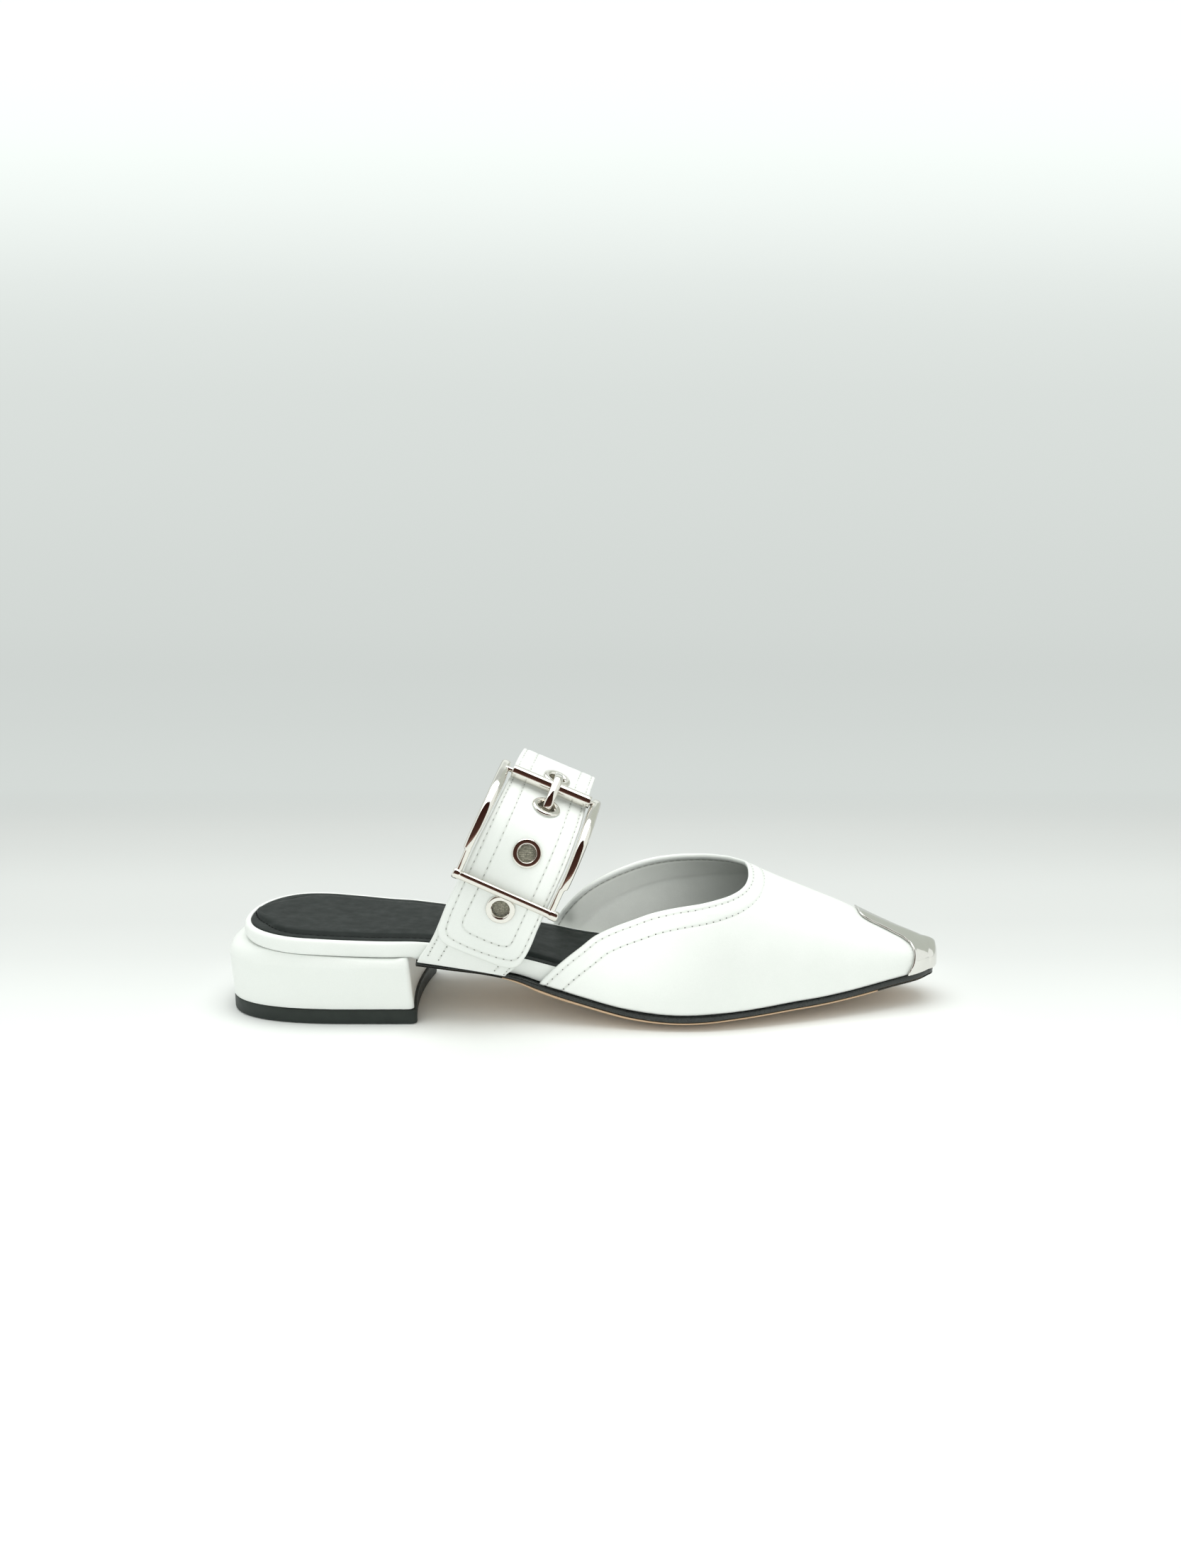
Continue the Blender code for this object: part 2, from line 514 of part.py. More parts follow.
def heel_top():
    """Outline of the heel block where it meets the underside of the rim."""
    ring = footbed_ring(lambda x, h: 0.4 * at(OVERHANG, "out", x))
    sides = []
    for side, base in zip((0, 1), heel_level(22.0)):
        dense = ring[side][ring[side][:, 0] < 74]
        fine = np.array([dense[int(k)] + (dense[min(int(k) + 1, len(dense) - 1)] - dense[int(k)]) * (k - int(k))
                         for k in np.linspace(0, len(dense) - 1, 400)])
        row = []
        for n, p in enumerate(base):
            if n < len(HEEL_ANGLES):
                row.append(fine[np.argmin(np.hypot(fine[:, 0] - p[0], fine[:, 1] - p[1]))])
            else:
                x = p[0] - (0.3 + CORNER_EASE) * HEEL_FADE[n]
                drop = abs(p[1]) / float(at(HEEL_FLARE, "width", p[0]))
                row.append((x, np.interp(x, fine[:, 0], fine[:, 1]) * min(drop, 1)))
        sides.append(np.array(row, float))
    return sides


def heel_block():
    low = TOP_PIECE_H + GAP
    levels = []
    for z in (low, 12.0, 18.0):
        levels.append(with_z(heel_level(z), lambda x, y: z))
    shoulder, top = heel_level(22.0), heel_top()
    bows = [-BREAST_HOLLOW] * 3
    for inward, up in ((0, 0), (0.10, 0.38), (0.33, 0.72), (0.66, 0.93), (1, 1)):
        level = []
        for a, b in zip(shoulder, top):
            mixed = a + (b - a) * inward
            level.append(np.array([
                (p[0], p[1], (1 - up) * float(at(SHOULDER, "z", p[0])) + up * (insole_z(p[0]) - RIM_H - GAP))
                for p in mixed]))
        levels.append(tuple(level))
        bows.append(-BREAST_HOLLOW + (BREAST_HOLLOW + SOLE_HOLLOW) * (0.5 + 0.5 * up) + CORNER_EASE * inward)
    return stack("heel_block", levels, [0, 0.15, 0.5, 0.85, 1], lambda x, y: low,
                 lambda x, y: insole_z(x) - RIM_H - GAP, "white_leather", bows=bows, fade=HEEL_FADE)


def heel_top_piece():
    levels = []
    for z, inset in ((0.0, 0.35), (0.4, 0.0), (TOP_PIECE_H, 0.0)):
        outline = heel_outline(-0.2 + inset, lambda x: 29.1 - inset, BREAST_X + 0.5 - inset)
        levels.append(with_z(outline, lambda x, y: z))
    return stack("heel_top_piece", levels, [0, 0.15, 0.5, 0.85, 1], lambda x, y: 0.0,
                 lambda x, y: TOP_PIECE_H, "black_rubber", bows=[-BREAST_HOLLOW] * 3, fade=HEEL_FADE)


# ---- vamp and toe plate -------------------------------------------------------------------------
def last_point(x, side, out=0.0):
    """A point of the vamp's surface, moved outward by out; x beyond the toe's start is scaled to it."""
    tip = TOE_X + out
    if x > TOE_FROM:
        x = TOE_FROM + (x - TOE_FROM) * (tip - TOE_FROM) / (TOE_X - TOE_FROM)
    turn = (1 - abs(side)) * math.pi / 2
    ridge_y = float(at(LAST, "ridge_y", x))
    edge = float(at(LAST, "lateral" if side < 0 else "medial", x))
    edge += out if edge > 0 else -out
    full = float(at(LAST, "full_lat" if side < 0 else "full_med", x))
    s = min(max((x - TOE_FROM) / (tip - TOE_FROM), 0.0), 1.0)
    shut = (1 - s ** TOE_POWER) ** (1 / TOE_POWER)
    y = ridge_y + (edge - ridge_y) * math.cos(turn) ** float(at(LAST, "lean", x)) * shut
    y += math.copysign(1, side) * float(at(LAST, "bulge", x)) * math.sin(2 * turn) * shut
    top = float(at(LAST, "ridge_z", x)) + out - TOE_DROP * (1 - (1 - s ** TOE_DROP_POWER) ** (1 / TOE_DROP_POWER))
    low = float(at(LAST, "feather", x))
    return (x, y, low + (top - low) * math.sin(turn) ** full)


TIP_LIMIT = 87.0     # the two sides meet in a narrow flat at the very tip


def travel(x):
    """Distance used to space rows evenly into the toe's rounding."""
    if x <= TOE_FROM:
        return x - TOE_FROM
    return 7.0 * math.asin(((x - TOE_FROM) / (TOE_X - TOE_FROM)) ** (TOE_POWER / 2))


def from_travel(q):
    if q <= 0:
        return TOE_FROM + q
    return TOE_FROM + (TOE_X - TOE_FROM) * math.sin(q / 7.0) ** (2 / TOE_POWER)


def shell(name, half, start, fractions, outer, inner, look_name):
    """A hollow shell over the last, from its rear edge to the tip, open underneath."""
    sides = [-s for s in half[:0:-1]] + list(half)
    limit = 7.0 * math.radians(TIP_LIMIT)
    points = []
    grids = []
    for out in (outer, inner):
        grid = []
        for f in fractions:
            row = []
            for side in sides:
                q0 = travel(start(side))
                points.append(last_point(from_travel(q0 + (limit - q0) * f), side, out))
                row.append(len(points) - 1)
            grid.append(row)
        grids.append(grid)
    faces = []
    over, under = grids
    count = len(sides)
    for grid in grids:
        for a, b in zip(grid, grid[1:]):
            for m in range(count - 1):
                faces.append((a[m], a[m + 1], b[m + 1], b[m]))
        end, middle = grid[-1], count // 2
        faces.append((end[middle], end[middle - 1], end[middle + 1]))
        for m in range(1, middle):
            faces.append((end[middle - m], end[middle - m - 1], end[middle + m + 1], end[middle + m]))
    for m in range(count - 1):
        faces.append((over[0][m], over[0][m + 1], under[0][m + 1], under[0][m]))
    for row in range(len(fractions) - 1):
        for m in (0, count - 1):
            faces.append((over[row][m], over[row + 1][m], under[row + 1][m], under[row][m]))
    faces.append((over[-1][0], over[-1][-1], under[-1][-1], under[-1][0]))
    return solid(name, points, faces, look_name, sharp=50)


# ---- strap --------------------------------------------------------------------------------------
PATH_S = np.concatenate([[0], np.cumsum(np.hypot(np.diff(PATH["y"]), np.diff(PATH["climb"])))])
PATH_S = PATH_S - PATH_S[1]
STRAP_LENGTH = float(PATH_S[-2])
ALONG = np.array([math.sin(STRAP_LEAN), 0.0, math.cos(STRAP_LEAN)])
ACROSS = np.array([math.cos(STRAP_SLOPE), 0.0, -math.sin(STRAP_SLOPE)])
FOOT_FADE = 14.0


def path_point(s):
    return np.array([float(smooth(PATH_S, PATH["y"], s)), float(smooth(PATH_S, PATH["climb"], s))])


def path_normal(s):
    run = path_point(s + 0.05) - path_point(s - 0.05)
    run /= np.hypot(*run)
    return np.array([-run[1], run[0]])


def strap_point(s, across, out=0.0):
    """s along the strap from its outer foot, across it toward the toe, out from its outer face."""
    y, climb = path_point(s) + out * path_normal(s)
    across = across + INNER_LEG_SHIFT * smooth((100, 108, 116), (0, 0.5, 1), s)
    p = np.array([STRAP_X, 0.0, STRAP_Z]) + ALONG * climb + ACROSS * across
    middle = path_point(s)
    fade = min(max(1 - middle[1] / FOOT_FADE, 0.0), 1.2) ** 2
    a, b = sole_sides(max(p[0], SOLE_START))
    shift = (a + 30.2) if s < STRAP_LENGTH / 2 else (b - 29.8)
    p[1] = y + shift * fade
    return p


def strap_frame(s, across, out=0.0):
    """Centre and unit directions at a place on the strap: along it, across it and out of it."""
    n = path_normal(s)
    centre = strap_point(s, across, out)
    outward_dir = np.array([0.0, n[0], 0.0]) + ALONG * n[1]
    outward_dir /= np.linalg.norm(outward_dir)
    run = strap_point(s + 0.1, across, out) - strap_point(s - 0.1, across, out)
    side = ACROSS - outward_dir * ACROSS.dot(outward_dir)
    side /= np.linalg.norm(side)
    run = run - outward_dir * run.dot(outward_dir) - side * run.dot(side)
    run /= np.linalg.norm(run)
    return centre, run, side, outward_dir


def edge_at(tab, name, s):
    return float(at(tab, name, min(s, STRAP_LENGTH - s)))


def foot_of_band(across, inner_side):
    """Distance along the strap at which it meets the black band of the sole."""
    low, high = -5.5, 14.0
    for _ in range(40):
        s = (low + high) / 2
        p = strap_point(STRAP_LENGTH - s if inner_side else s, across, sum(BAND) / 2)
        a, b = sole_sides(max(p[0], SOLE_START))
        if p[2] < sole_face(3, max(p[0], SOLE_START), b if inner_side else a) + GAP:
            low = s
        else:
            high = s
    return (low + high) / 2


STRAP_ROWS = [14, 18, 23, 28, 33, 38, 42, 46, 49, 52, 55, 58, 61, 64, 68, 73, 78, 83, 88, 93, 98]


def mirrored(rows):
    return rows + [STRAP_LENGTH - s for s in rows[::-1] if s < STRAP_LENGTH / 2 - 2]


def strap_base():
    columns = (0, 0.25, 0.5, 0.75, 1)
    loops = []
    middle = mirrored(STRAP_ROWS)
    rows = [("foot", f) for f in (0, 0.3, 0.65)] + [("run", s) for s in middle] + [
        ("end", f) for f in (0.65, 0.3, 0)]
    for kind, value in rows:
        face = []
        for v in columns:
            if kind == "run":
                s = value
            else:
                start_w = (1 - v) * -16.8 + v * 13.2
                start = foot_of_band(start_w, kind == "end")
                s = start + (14 - start) * value
                if kind == "end":
                    s = STRAP_LENGTH - s
            near = min(s, STRAP_LENGTH - s)
            w = (1 - v) * float(at(BAND_EDGE, "heelward", near)) + v * float(at(BAND_EDGE, "toeward", near))
            face.append((s, w))
        loops.append([strap_point(s, w, BAND[1]) for s, w in face]
                     + [strap_point(s, w, BAND[0]) for s, w in face[::-1]])
    return tube("strap_base", loops, "white_leather")


def instep_strap():
    rows = mirrored([7.8, 8.4, 9.6, 11.6] + STRAP_ROWS)
    loops = []
    for s in rows:
        a, b = edge_at(OVERLAY_EDGE, "heelward", s), edge_at(OVERLAY_EDGE, "toeward", s)
        face = [a + (b - a) * v for v in (0, 0.5, 1)]
        loops.append([strap_point(s, w, OVERLAY[1]) for w in face]
                     + [strap_point(s, w, OVERLAY[0]) for w in face[::-1]])
    strap = tube("instep_strap", loops, "white_leather")
    for k, (s, w) in enumerate(zip(EYELETS["along"], EYELETS["across"])):
        centre, run, side, out = strap_frame(s, w)
        loops = []
        for height in (-2.6, 1.6):
            loops.append([centre + out * height + EYELET_HOLE * (run * math.cos(a) + side * math.sin(a))
                          for a in np.linspace(0, 2 * math.pi, 16, endpoint=False)])
        cutter = tube("punch_%d" % (k + 1), loops, "white_leather", helper=True)
        cut = strap.modifiers.new("hole_%d" % (k + 1), "BOOLEAN")
        cut.operation, cut.solver, cut.object = "DIFFERENCE", "EXACT", cutter
    return strap


def lathe(name, frame, profile, count, look_name, helper=False, sharp=40):
    """A ring turned about the frame's axis; profile holds (radius, height) pairs of a closed loop."""
    centre, u, v, axis = frame
    loops = []
    for a in np.linspace(0, 2 * math.pi, count, endpoint=False):
        direction = u * math.cos(a) + v * math.sin(a)
        loops.append([centre + direction * r + axis * h for r, h in profile])
    return tube(name, loops, look_name, helper, ring=True, sharp=sharp)


def eyelets():
    profile = [(EYELET_IN, -1.15), (EYELET_IN + 0.5, -1.15), (EYELET_IN + 0.5, 0.32), (EYELET_OUT, 0.32),
               (EYELET_OUT - 0.3, 0.9), (4.0, 1.15), (EYELET_IN, 0.7)]
    for k, (s, w) in enumerate(zip(EYELETS["along"], EYELETS["across"])):
        lathe("eyelet_%d" % (k + 1), strap_frame(s, w), profile, 16, "nickel")


# ---- buckle -------------------------------------------------------------------------------------
def side_bar(name, bar, helper):
    loops = []
    for s, outer, inner, low, high in zip(bar["along"], bar["outer"], bar["inner"], bar["low"], bar["high"]):
        a, b = min(outer, inner), max(outer, inner)
        r = min(0.9, (b - a) * 0.4, (high - low) * 0.4)
        loop = []
        for cw, ct, turn in ((b - r, high - r, 0), (a + r, high - r, 90), (a + r, low + r, 180), (b - r, low + r, 270)):
            for part in (5, 45, 85):
                angle = math.radians(turn + part)
                loop.append(strap_point(s, cw + r * math.cos(angle), ct + r * math.sin(angle)))
        loops.append(loop)
    return tube(name, loops, "nickel", helper=helper)


def round_bar(name, s, t, profile, count, helper):
    """A solid bar across the strap; profile holds (place across, radius) pairs."""
    centre, run, side, out = strap_frame(s, 0.0, t)
    loops = []
    for w, r in profile:
        loops.append([centre + side * w + r * (run * math.cos(a) + out * math.sin(a))
                      for a in np.linspace(0, 2 * math.pi, count, endpoint=False) + 0.07])
    return tube(name, loops, "nickel", helper=helper)


def buckle():
    frame = side_bar("buckle_frame", BAR_HEELWARD, False)
    joined = [
        side_bar("bar_toeward", BAR_TOEWARD, True),
        round_bar("crossbar", BAR_S, BAR_T, [(-19.0, 0.9), (-18.7, 1.6), (-18.1, 1.85), (-16.6, 1.85), (-16.1, BAR_R),
                                             (17.0, BAR_R), (17.6, 1.85), (19.7, 1.85), (20.2, 1.6), (20.5, 0.9)],
                  16, True),
        round_bar("roller_pin", ROLLER_S, ROLLER_T, [(-18.0, PIN_R), (18.9, PIN_R)], 14, True),
    ]
    for other in joined:
        join = frame.modifiers.new("join_" + other.name, "BOOLEAN")
        join.operation, join.solver, join.object = "UNION", "EXACT", other
    centre, run, side, out = strap_frame(ROLLER_S, 0.0, ROLLER_T)
    a, b, r = ROLLER_FROM, ROLLER_TO, ROLLER_R
    profile = [(ROLLER_BORE, a), (r - 0.3, a), (r, a + 0.3), (r, b - 0.3), (r - 0.3, b), (ROLLER_BORE, b)]
    lathe("buckle_roller", (centre, run, out, side), profile, 20, "nickel")

    spine = [strap_point(s, PRONG_ACROSS, t) for s, t in zip(PRONG["along"], PRONG["height"])]
    runs = [np.array(spine[min(k + 1, len(spine) - 1)]) - np.array(spine[max(k - 1, 0)]) for k in range(len(spine))]
    loops = []
    for k, (p, d) in enumerate(zip(spine, runs)):
        d = d / np.linalg.norm(d)
        side_dir = ACROSS - d * ACROSS.dot(d)
        side_dir /= np.linalg.norm(side_dir)
        up = np.cross(d, side_dir)
        ease = 0.75 if k in (0, len(spine) - 1) else 1.0
        loops.append([p + ease * (PRONG_HALF * side_dir * math.cos(a) + PRONG_THICK * up * math.sin(a))
                      for a in np.linspace(0, 2 * math.pi, 10, endpoint=False)])
    tube("buckle_prong", loops, "nickel")


# ---- build --------------------------------------------------------------------------------------
VAMP_HALF = (0, 0.09, 0.18, 0.27, 0.36, 0.44, 0.52, 0.60, 0.67, 0.74, 0.81, 0.88, 0.94, 1.0)
VAMP_ROWS = [0, 0.07, 0.16, 0.26, 0.36, 0.46, 0.56, 0.65, 0.73, 0.80, 0.86, 0.91, 0.945, 0.975, 1.0]
PLATE_COLUMNS = (0, 0.12, 0.21, 0.258, 0.291, 0.34, 0.404, 0.48, 0.58, 0.70, 0.80, 0.90, 1.0)
PLATE_ROWS = [0, 0.2, 0.4, 0.57, 0.72, 0.85, 0.94, 1.0]

sole_layer("outsole", 0, 1, "tan_leather")
sole_layer("edge_band", 2, 3, "black_leather")
footbed_board()
insole()
heel_block()
heel_top_piece()
shell("upper", VAMP_HALF, lambda side: float(smooth(TOPLINE["side"], TOPLINE["x"], side)), VAMP_ROWS,
      0.0, -WALL, "white_leather")
shell("toe_cap", tuple(PLATE_COLUMNS), lambda side: float(smooth(PLATE_EDGE["side"], PLATE_EDGE["x"], abs(side))),
      PLATE_ROWS, PLATE_HIGH, PLATE_LOW, "nickel")
strap_base()
instep_strap()
eyelets()
buckle()

everything = np.array([v.co[:] for piece in shoe for v in piece.data.vertices])
low, high = everything.min(axis=0), everything.max(axis=0)
middle = np.array([(low[0] + high[0]) / 2, (low[1] + high[1]) / 2, low[2]])
for piece in shoe + helpers:
    for vertex in piece.data.vertices:
        vertex.co = [(vertex.co[k] - middle[k]) * MM for k in range(3)]
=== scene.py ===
"""The looks of the buckled mule: fine meshes, stitching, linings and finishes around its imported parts.

Lengths inside this script are in millimetres along the shoe: x from the back of the heel to the toe,
y from the outer side (minus) to the inner side (plus), z up from the floor. place() moves them to the
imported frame, in metres.
"""

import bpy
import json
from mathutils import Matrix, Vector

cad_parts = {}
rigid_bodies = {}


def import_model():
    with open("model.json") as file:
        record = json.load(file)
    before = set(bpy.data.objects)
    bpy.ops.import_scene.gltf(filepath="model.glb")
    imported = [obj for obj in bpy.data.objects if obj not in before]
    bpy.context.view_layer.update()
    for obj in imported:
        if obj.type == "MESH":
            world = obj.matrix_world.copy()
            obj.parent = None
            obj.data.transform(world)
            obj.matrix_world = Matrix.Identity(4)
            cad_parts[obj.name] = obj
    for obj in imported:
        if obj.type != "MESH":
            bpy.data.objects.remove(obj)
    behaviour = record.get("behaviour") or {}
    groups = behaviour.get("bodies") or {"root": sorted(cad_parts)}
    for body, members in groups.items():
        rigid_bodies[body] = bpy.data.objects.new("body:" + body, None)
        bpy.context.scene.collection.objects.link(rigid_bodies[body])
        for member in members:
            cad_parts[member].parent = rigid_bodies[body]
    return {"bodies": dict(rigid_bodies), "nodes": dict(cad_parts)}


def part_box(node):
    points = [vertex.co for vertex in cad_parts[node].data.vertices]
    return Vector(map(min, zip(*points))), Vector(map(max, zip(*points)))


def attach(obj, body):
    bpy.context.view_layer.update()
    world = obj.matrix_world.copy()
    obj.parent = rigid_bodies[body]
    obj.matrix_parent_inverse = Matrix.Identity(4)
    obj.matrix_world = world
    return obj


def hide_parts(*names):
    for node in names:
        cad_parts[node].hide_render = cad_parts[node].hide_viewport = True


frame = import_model()

import json
import math

import bmesh
import bpy
import numpy as np
from mathutils import Vector
from mathutils.kdtree import KDTree

packed = set(frame["nodes"].values()) | set(frame["bodies"].values())
for other in [o for o in bpy.data.objects if o not in packed]:
    bpy.data.objects.remove(other)
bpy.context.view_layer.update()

MM = 0.001

# ---- driving dimensions -------------------------------------------------------------------------
GAP = 0.3                # clearance between neighbouring pieces
WALL = 1.6               # leather and lining of the vamp together
TOP_PIECE_H = 5.5        # rubber under the heel
BREAST_X = 71.4          # front corners of the heel block at the floor
BREAST_LEAN = 2.0        # how far they lean back over the height of 24
BREAST_HOLLOW = 2.3      # how far the heel's front face is hollowed
SOLE_START = 72.1        # the thin sole begins at the heel breast
FLAT_FROM, FLAT_TO = 151.0, 177.0   # flat tread under the ball of the foot
SOLE_TIP_X = 265.6
TOE_X, TOE_FROM = 265.9, 254.0      # where the toe's rounding ends and begins
TOE_POWER = 2.6          # bluntness of the toe seen from above
TOE_DROP, TOE_DROP_POWER = 3.2, 2.2  # how far the ridge rounds down at the tip
PLATE_LOW, PLATE_HIGH = 0.42, 1.0  # metal toe plate, above the vamp's surface
RIM_H = 5.4              # wrapped rim of the footbed board at the heel
STRAP_LEAN = math.radians(24.5)     # the strap leans forward as it rises
STRAP_SLOPE = math.radians(23.0)    # and its width runs down toward the toe
STRAP_X, STRAP_Z = 90.0, 19.5       # middle of the strap's foot on the outer side
INNER_LEG_SHIFT = 0.8    # the inner leg sits this much nearer the toe
OVERLAY = (-1.3, 0.0)    # sewn top layer of the strap, measured from its own outer face
BAND = (-3.0, -1.6)      # under layer of the strap
EYELET_IN, EYELET_OUT, EYELET_HOLE = 2.9, 5.2, 3.8
ROLLER_S, ROLLER_T, ROLLER_R, ROLLER_BORE = 82.1, 3.05, 2.35, 1.25
ROLLER_FROM, ROLLER_TO = -14.4, 16.0
PIN_R = 0.9
PRONG_HALF, PRONG_THICK = 1.65, 1.05  # half its width and half its thickness
BAR_S, BAR_T, BAR_R = 35.2, 2.3, 1.6   # crossbar at the buckle's lower end

def table(columns, rows):
    """A small table of sections as named columns."""
    data = np.array(rows, float)
    return {name: data[:, k] for k, name in enumerate(columns.split())}


def smooth(xs, ys, x):
    """A soft curve through the given points, level in overshoot, held at its ends."""
    xs, ys = np.asarray(xs, float), np.asarray(ys, float)
    x = np.clip(np.asarray(x, float), xs[0], xs[-1])
    step = np.diff(xs)
    slope = np.diff(ys) / step
    m = np.empty(len(xs))
    m[0], m[-1] = slope[0], slope[-1]
    m[1:-1] = (slope[:-1] * step[1:] + slope[1:] * step[:-1]) / (step[:-1] + step[1:])
    k = np.clip(np.searchsorted(xs, x, side="right") - 1, 0, len(xs) - 2)
    h = step[k]
    u = (x - xs[k]) / h
    return ((2 * u**3 - 3 * u**2 + 1) * ys[k] + (u**3 - 2 * u**2 + u) * h * m[k]
            + (3 * u**2 - 2 * u**3) * ys[k + 1] + (u**3 - u**2) * h * m[k + 1])


_dense = {}


def at(tab, name, x):
    """A column of a table as a soft curve over its first column."""
    key = (id(tab), name)
    if key not in _dense:
        first = tab[next(iter(tab))]
        grid = np.linspace(first[0], first[-1], 4001)
        _dense[key] = (grid, smooth(first, tab[name], grid))
    grid, values = _dense[key]
    return np.interp(x, grid, values)



# The last: outer and inner side of the feather line, its height, the ridge, and how full each side is.
LAST = table("x lateral medial feather ridge_y ridge_z lean full_lat full_med bulge", [
    (100, -27.4, 26.0, 18.2, 4.0, 104.0, 1.00, 0.95, 0.92, 0.5),
    (116, -28.2, 27.4, 14.7, 4.5, 94.0, 1.00, 0.95, 0.92, 0.9),
    (132, -31.6, 30.4, 10.8, 5.0, 85.0, 1.00, 0.95, 0.90, 1.3),
    (148, -34.7, 33.6, 7.4, 5.2, 76.5, 1.00, 0.93, 0.88, 1.6),
    (164, -36.4, 36.4, 5.9, 5.4, 68.0, 1.00, 0.91, 0.86, 1.7),
    (178, -36.0, 37.4, 6.2, 5.5, 60.6, 1.02, 0.89, 0.84, 1.6),
    (192, -33.4, 36.0, 7.0, 5.4, 52.5, 1.05, 0.87, 0.82, 1.4),
    (206, -29.4, 32.8, 8.1, 5.2, 46.2, 1.08, 0.84, 0.80, 1.2),
    (220, -24.8, 28.4, 8.9, 4.8, 40.7, 1.12, 0.80, 0.77, 1.0),
    (234, -19.5, 23.2, 10.2, 4.3, 34.8, 1.20, 0.73, 0.72, 0.7),
    (246, -14.6, 18.6, 11.7, 3.8, 29.2, 1.32, 0.64, 0.64, 0.4),
    (256, -10.6, 15.0, 12.8, 3.4, 24.9, 1.40, 0.58, 0.58, 0.2),
    (262, -7.8, 12.8, 13.4, 3.2, 22.9, 1.40, 0.55, 0.55, 0.1),
])
# Top edge of the vamp: side is -1 at the outer feather line, 0 on the ridge, +1 at the inner feather line.
TOPLINE = table("side x", [
    (-1.00, 116.0), (-0.95, 121.0), (-0.90, 126.0), (-0.85, 131.1), (-0.80, 136.0), (-0.75, 142.4),
    (-0.70, 149.6), (-0.65, 156.6), (-0.60, 164.8), (-0.55, 173.4), (-0.475, 182.1), (-0.40, 187.5),
    (-0.33, 190.6), (-0.24, 192.7), (-0.15, 193.6), (0.0, 193.8), (0.15, 192.5), (0.26, 188.4),
    (0.367, 182.9), (0.466, 174.7), (0.536, 166.1), (0.603, 157.4), (0.672, 148.7), (0.742, 139.9),
    (0.791, 134.0), (0.847, 128.2), (0.906, 122.9), (1.0, 116.5),
])
# Rear edge of the toe plate, the same on both sides of the ridge.
PLATE_EDGE = table("side x", [
    (0.0, 236.4), (0.10, 236.4), (0.19, 236.6), (0.244, 237.8), (0.271, 239.5), (0.291, 242.4),
    (0.318, 245.5), (0.358, 248.5), (0.404, 251.5), (0.459, 253.2), (0.509, 254.3), (0.60, 255.0),
    (0.70, 255.3), (0.79, 255.2), (0.884, 254.8), (0.948, 254.2), (1.0, 252.8),
])
# Thin sole: its sides, the height of its upper edge, the edge thickness of the black band and of the
# tan outsole, and in the middle the height of the underside and the two thicknesses.
SOLE = table("x lateral medial edge_z band tan floor tan_mid band_mid", [
    (72, -29.7, 28.9, 22.95, 0.35, 0.3, 21.3, 0.9, 0.7),
    (85, -29.2, 28.3, 21.1, 0.45, 0.3, 19.1, 1.2, 0.7),
    (98, -28.2, 27.1, 19.1, 0.6, 0.3, 16.8, 1.2, 0.9),
    (104, -27.9, 26.9, 18.1, 0.95, 0.4, 15.4, 1.3, 1.1),
    (108, -27.8, 26.8, 17.2, 1.25, 0.6, 14.1, 1.4, 1.2),
    (116, -28.4, 27.4, 14.5, 1.65, 0.9, 10.7, 1.8, 1.6),
    (124, -30.1, 29.0, 12.45, 1.9, 0.95, 7.5, 2.0, 1.7),
    (132, -31.8, 30.6, 10.5, 1.9, 0.85, 4.7, 2.2, 1.7),
    (140, -33.4, 32.2, 8.6, 1.9, 0.8, 2.3, 2.2, 1.7),
    (146, -34.5, 33.3, 7.4, 2.0, 0.75, 0.8, 2.2, 1.7),
    (151, -35.3, 34.4, 6.6, 2.0, 0.7, 0.0, 2.2, 1.7),
    (164, -36.6, 36.6, 5.6, 2.1, 0.6, 0.0, 2.2, 1.7),
    (177, -36.3, 37.6, 5.8, 2.0, 0.6, 0.0, 2.2, 1.7),
    (184, -35.2, 37.2, 6.2, 1.9, 0.6, 0.4, 2.2, 1.7),
    (192, -33.6, 36.2, 6.7, 1.8, 0.6, 1.1, 2.2, 1.7),
    (206, -29.6, 33.0, 7.8, 1.9, 0.6, 2.4, 2.2, 1.7),
    (220, -25.0, 28.6, 8.6, 1.9, 0.6, 3.9, 2.2, 1.7),
    (234, -19.7, 23.4, 9.9, 1.9, 0.6, 6.2, 1.9, 1.6),
    (246, -14.8, 18.8, 11.4, 1.9, 0.5, 8.2, 1.6, 1.4),
    (256, -10.8, 15.2, 12.5, 2.0, 0.4, 9.6, 1.1, 1.6),
    (262, -8.0, 13.0, 13.1, 2.0, 0.35, 10.35, 0.7, 1.6),
])
# Insole: half width where it is seen, and the height of its edge.
INSOLE_W = table("x half", [
    (33, 29.8), (43, 29.3), (53, 28.3), (63, 27.5), (72, 25.9), (90, 25.0), (105, 24.4), (112, 24.4),
    (116, 24.8), (122, 25.8), (133, 27.4),
])
INSOLE_Z = table("x z", [
    (0, 33.9), (12, 33.6), (20, 33.2), (25, 32.8), (33, 32.2), (40, 31.7), (48, 31.1), (56, 30.6),
    (65, 30.2), (72, 29.7), (90, 27.0), (105, 24.0), (112, 22.5), (120, 20.6), (133, 17.6), (142, 15.8),
    (150, 14.0), (165, 12.4), (180, 12.3), (200, 13.2), (220, 14.3), (240, 15.5), (256, 16.4), (262, 16.7),
])
# How far the insole stays inside the feather line in the forefoot.
MARGIN = table("x inset", [(118, 4.2), (133, 4.2), (148, 3.7), (164, 3.3), (192, 3.1), (234, 3.0), (262, 2.8)])
# How far the board's rim stands out past the insole.
OVERHANG = table("x out", [(0, 2.3), (20, 2.1), (33, 2.0), (64, 2.0), (73, 1.55), (81, 1.75),
                           (90, 2.0), (98, 2.2), (106, 1.9), (112, 1.2), (117, 0.7), (123, 0.45), (135, 0.4),
                           (262, 0.5)])
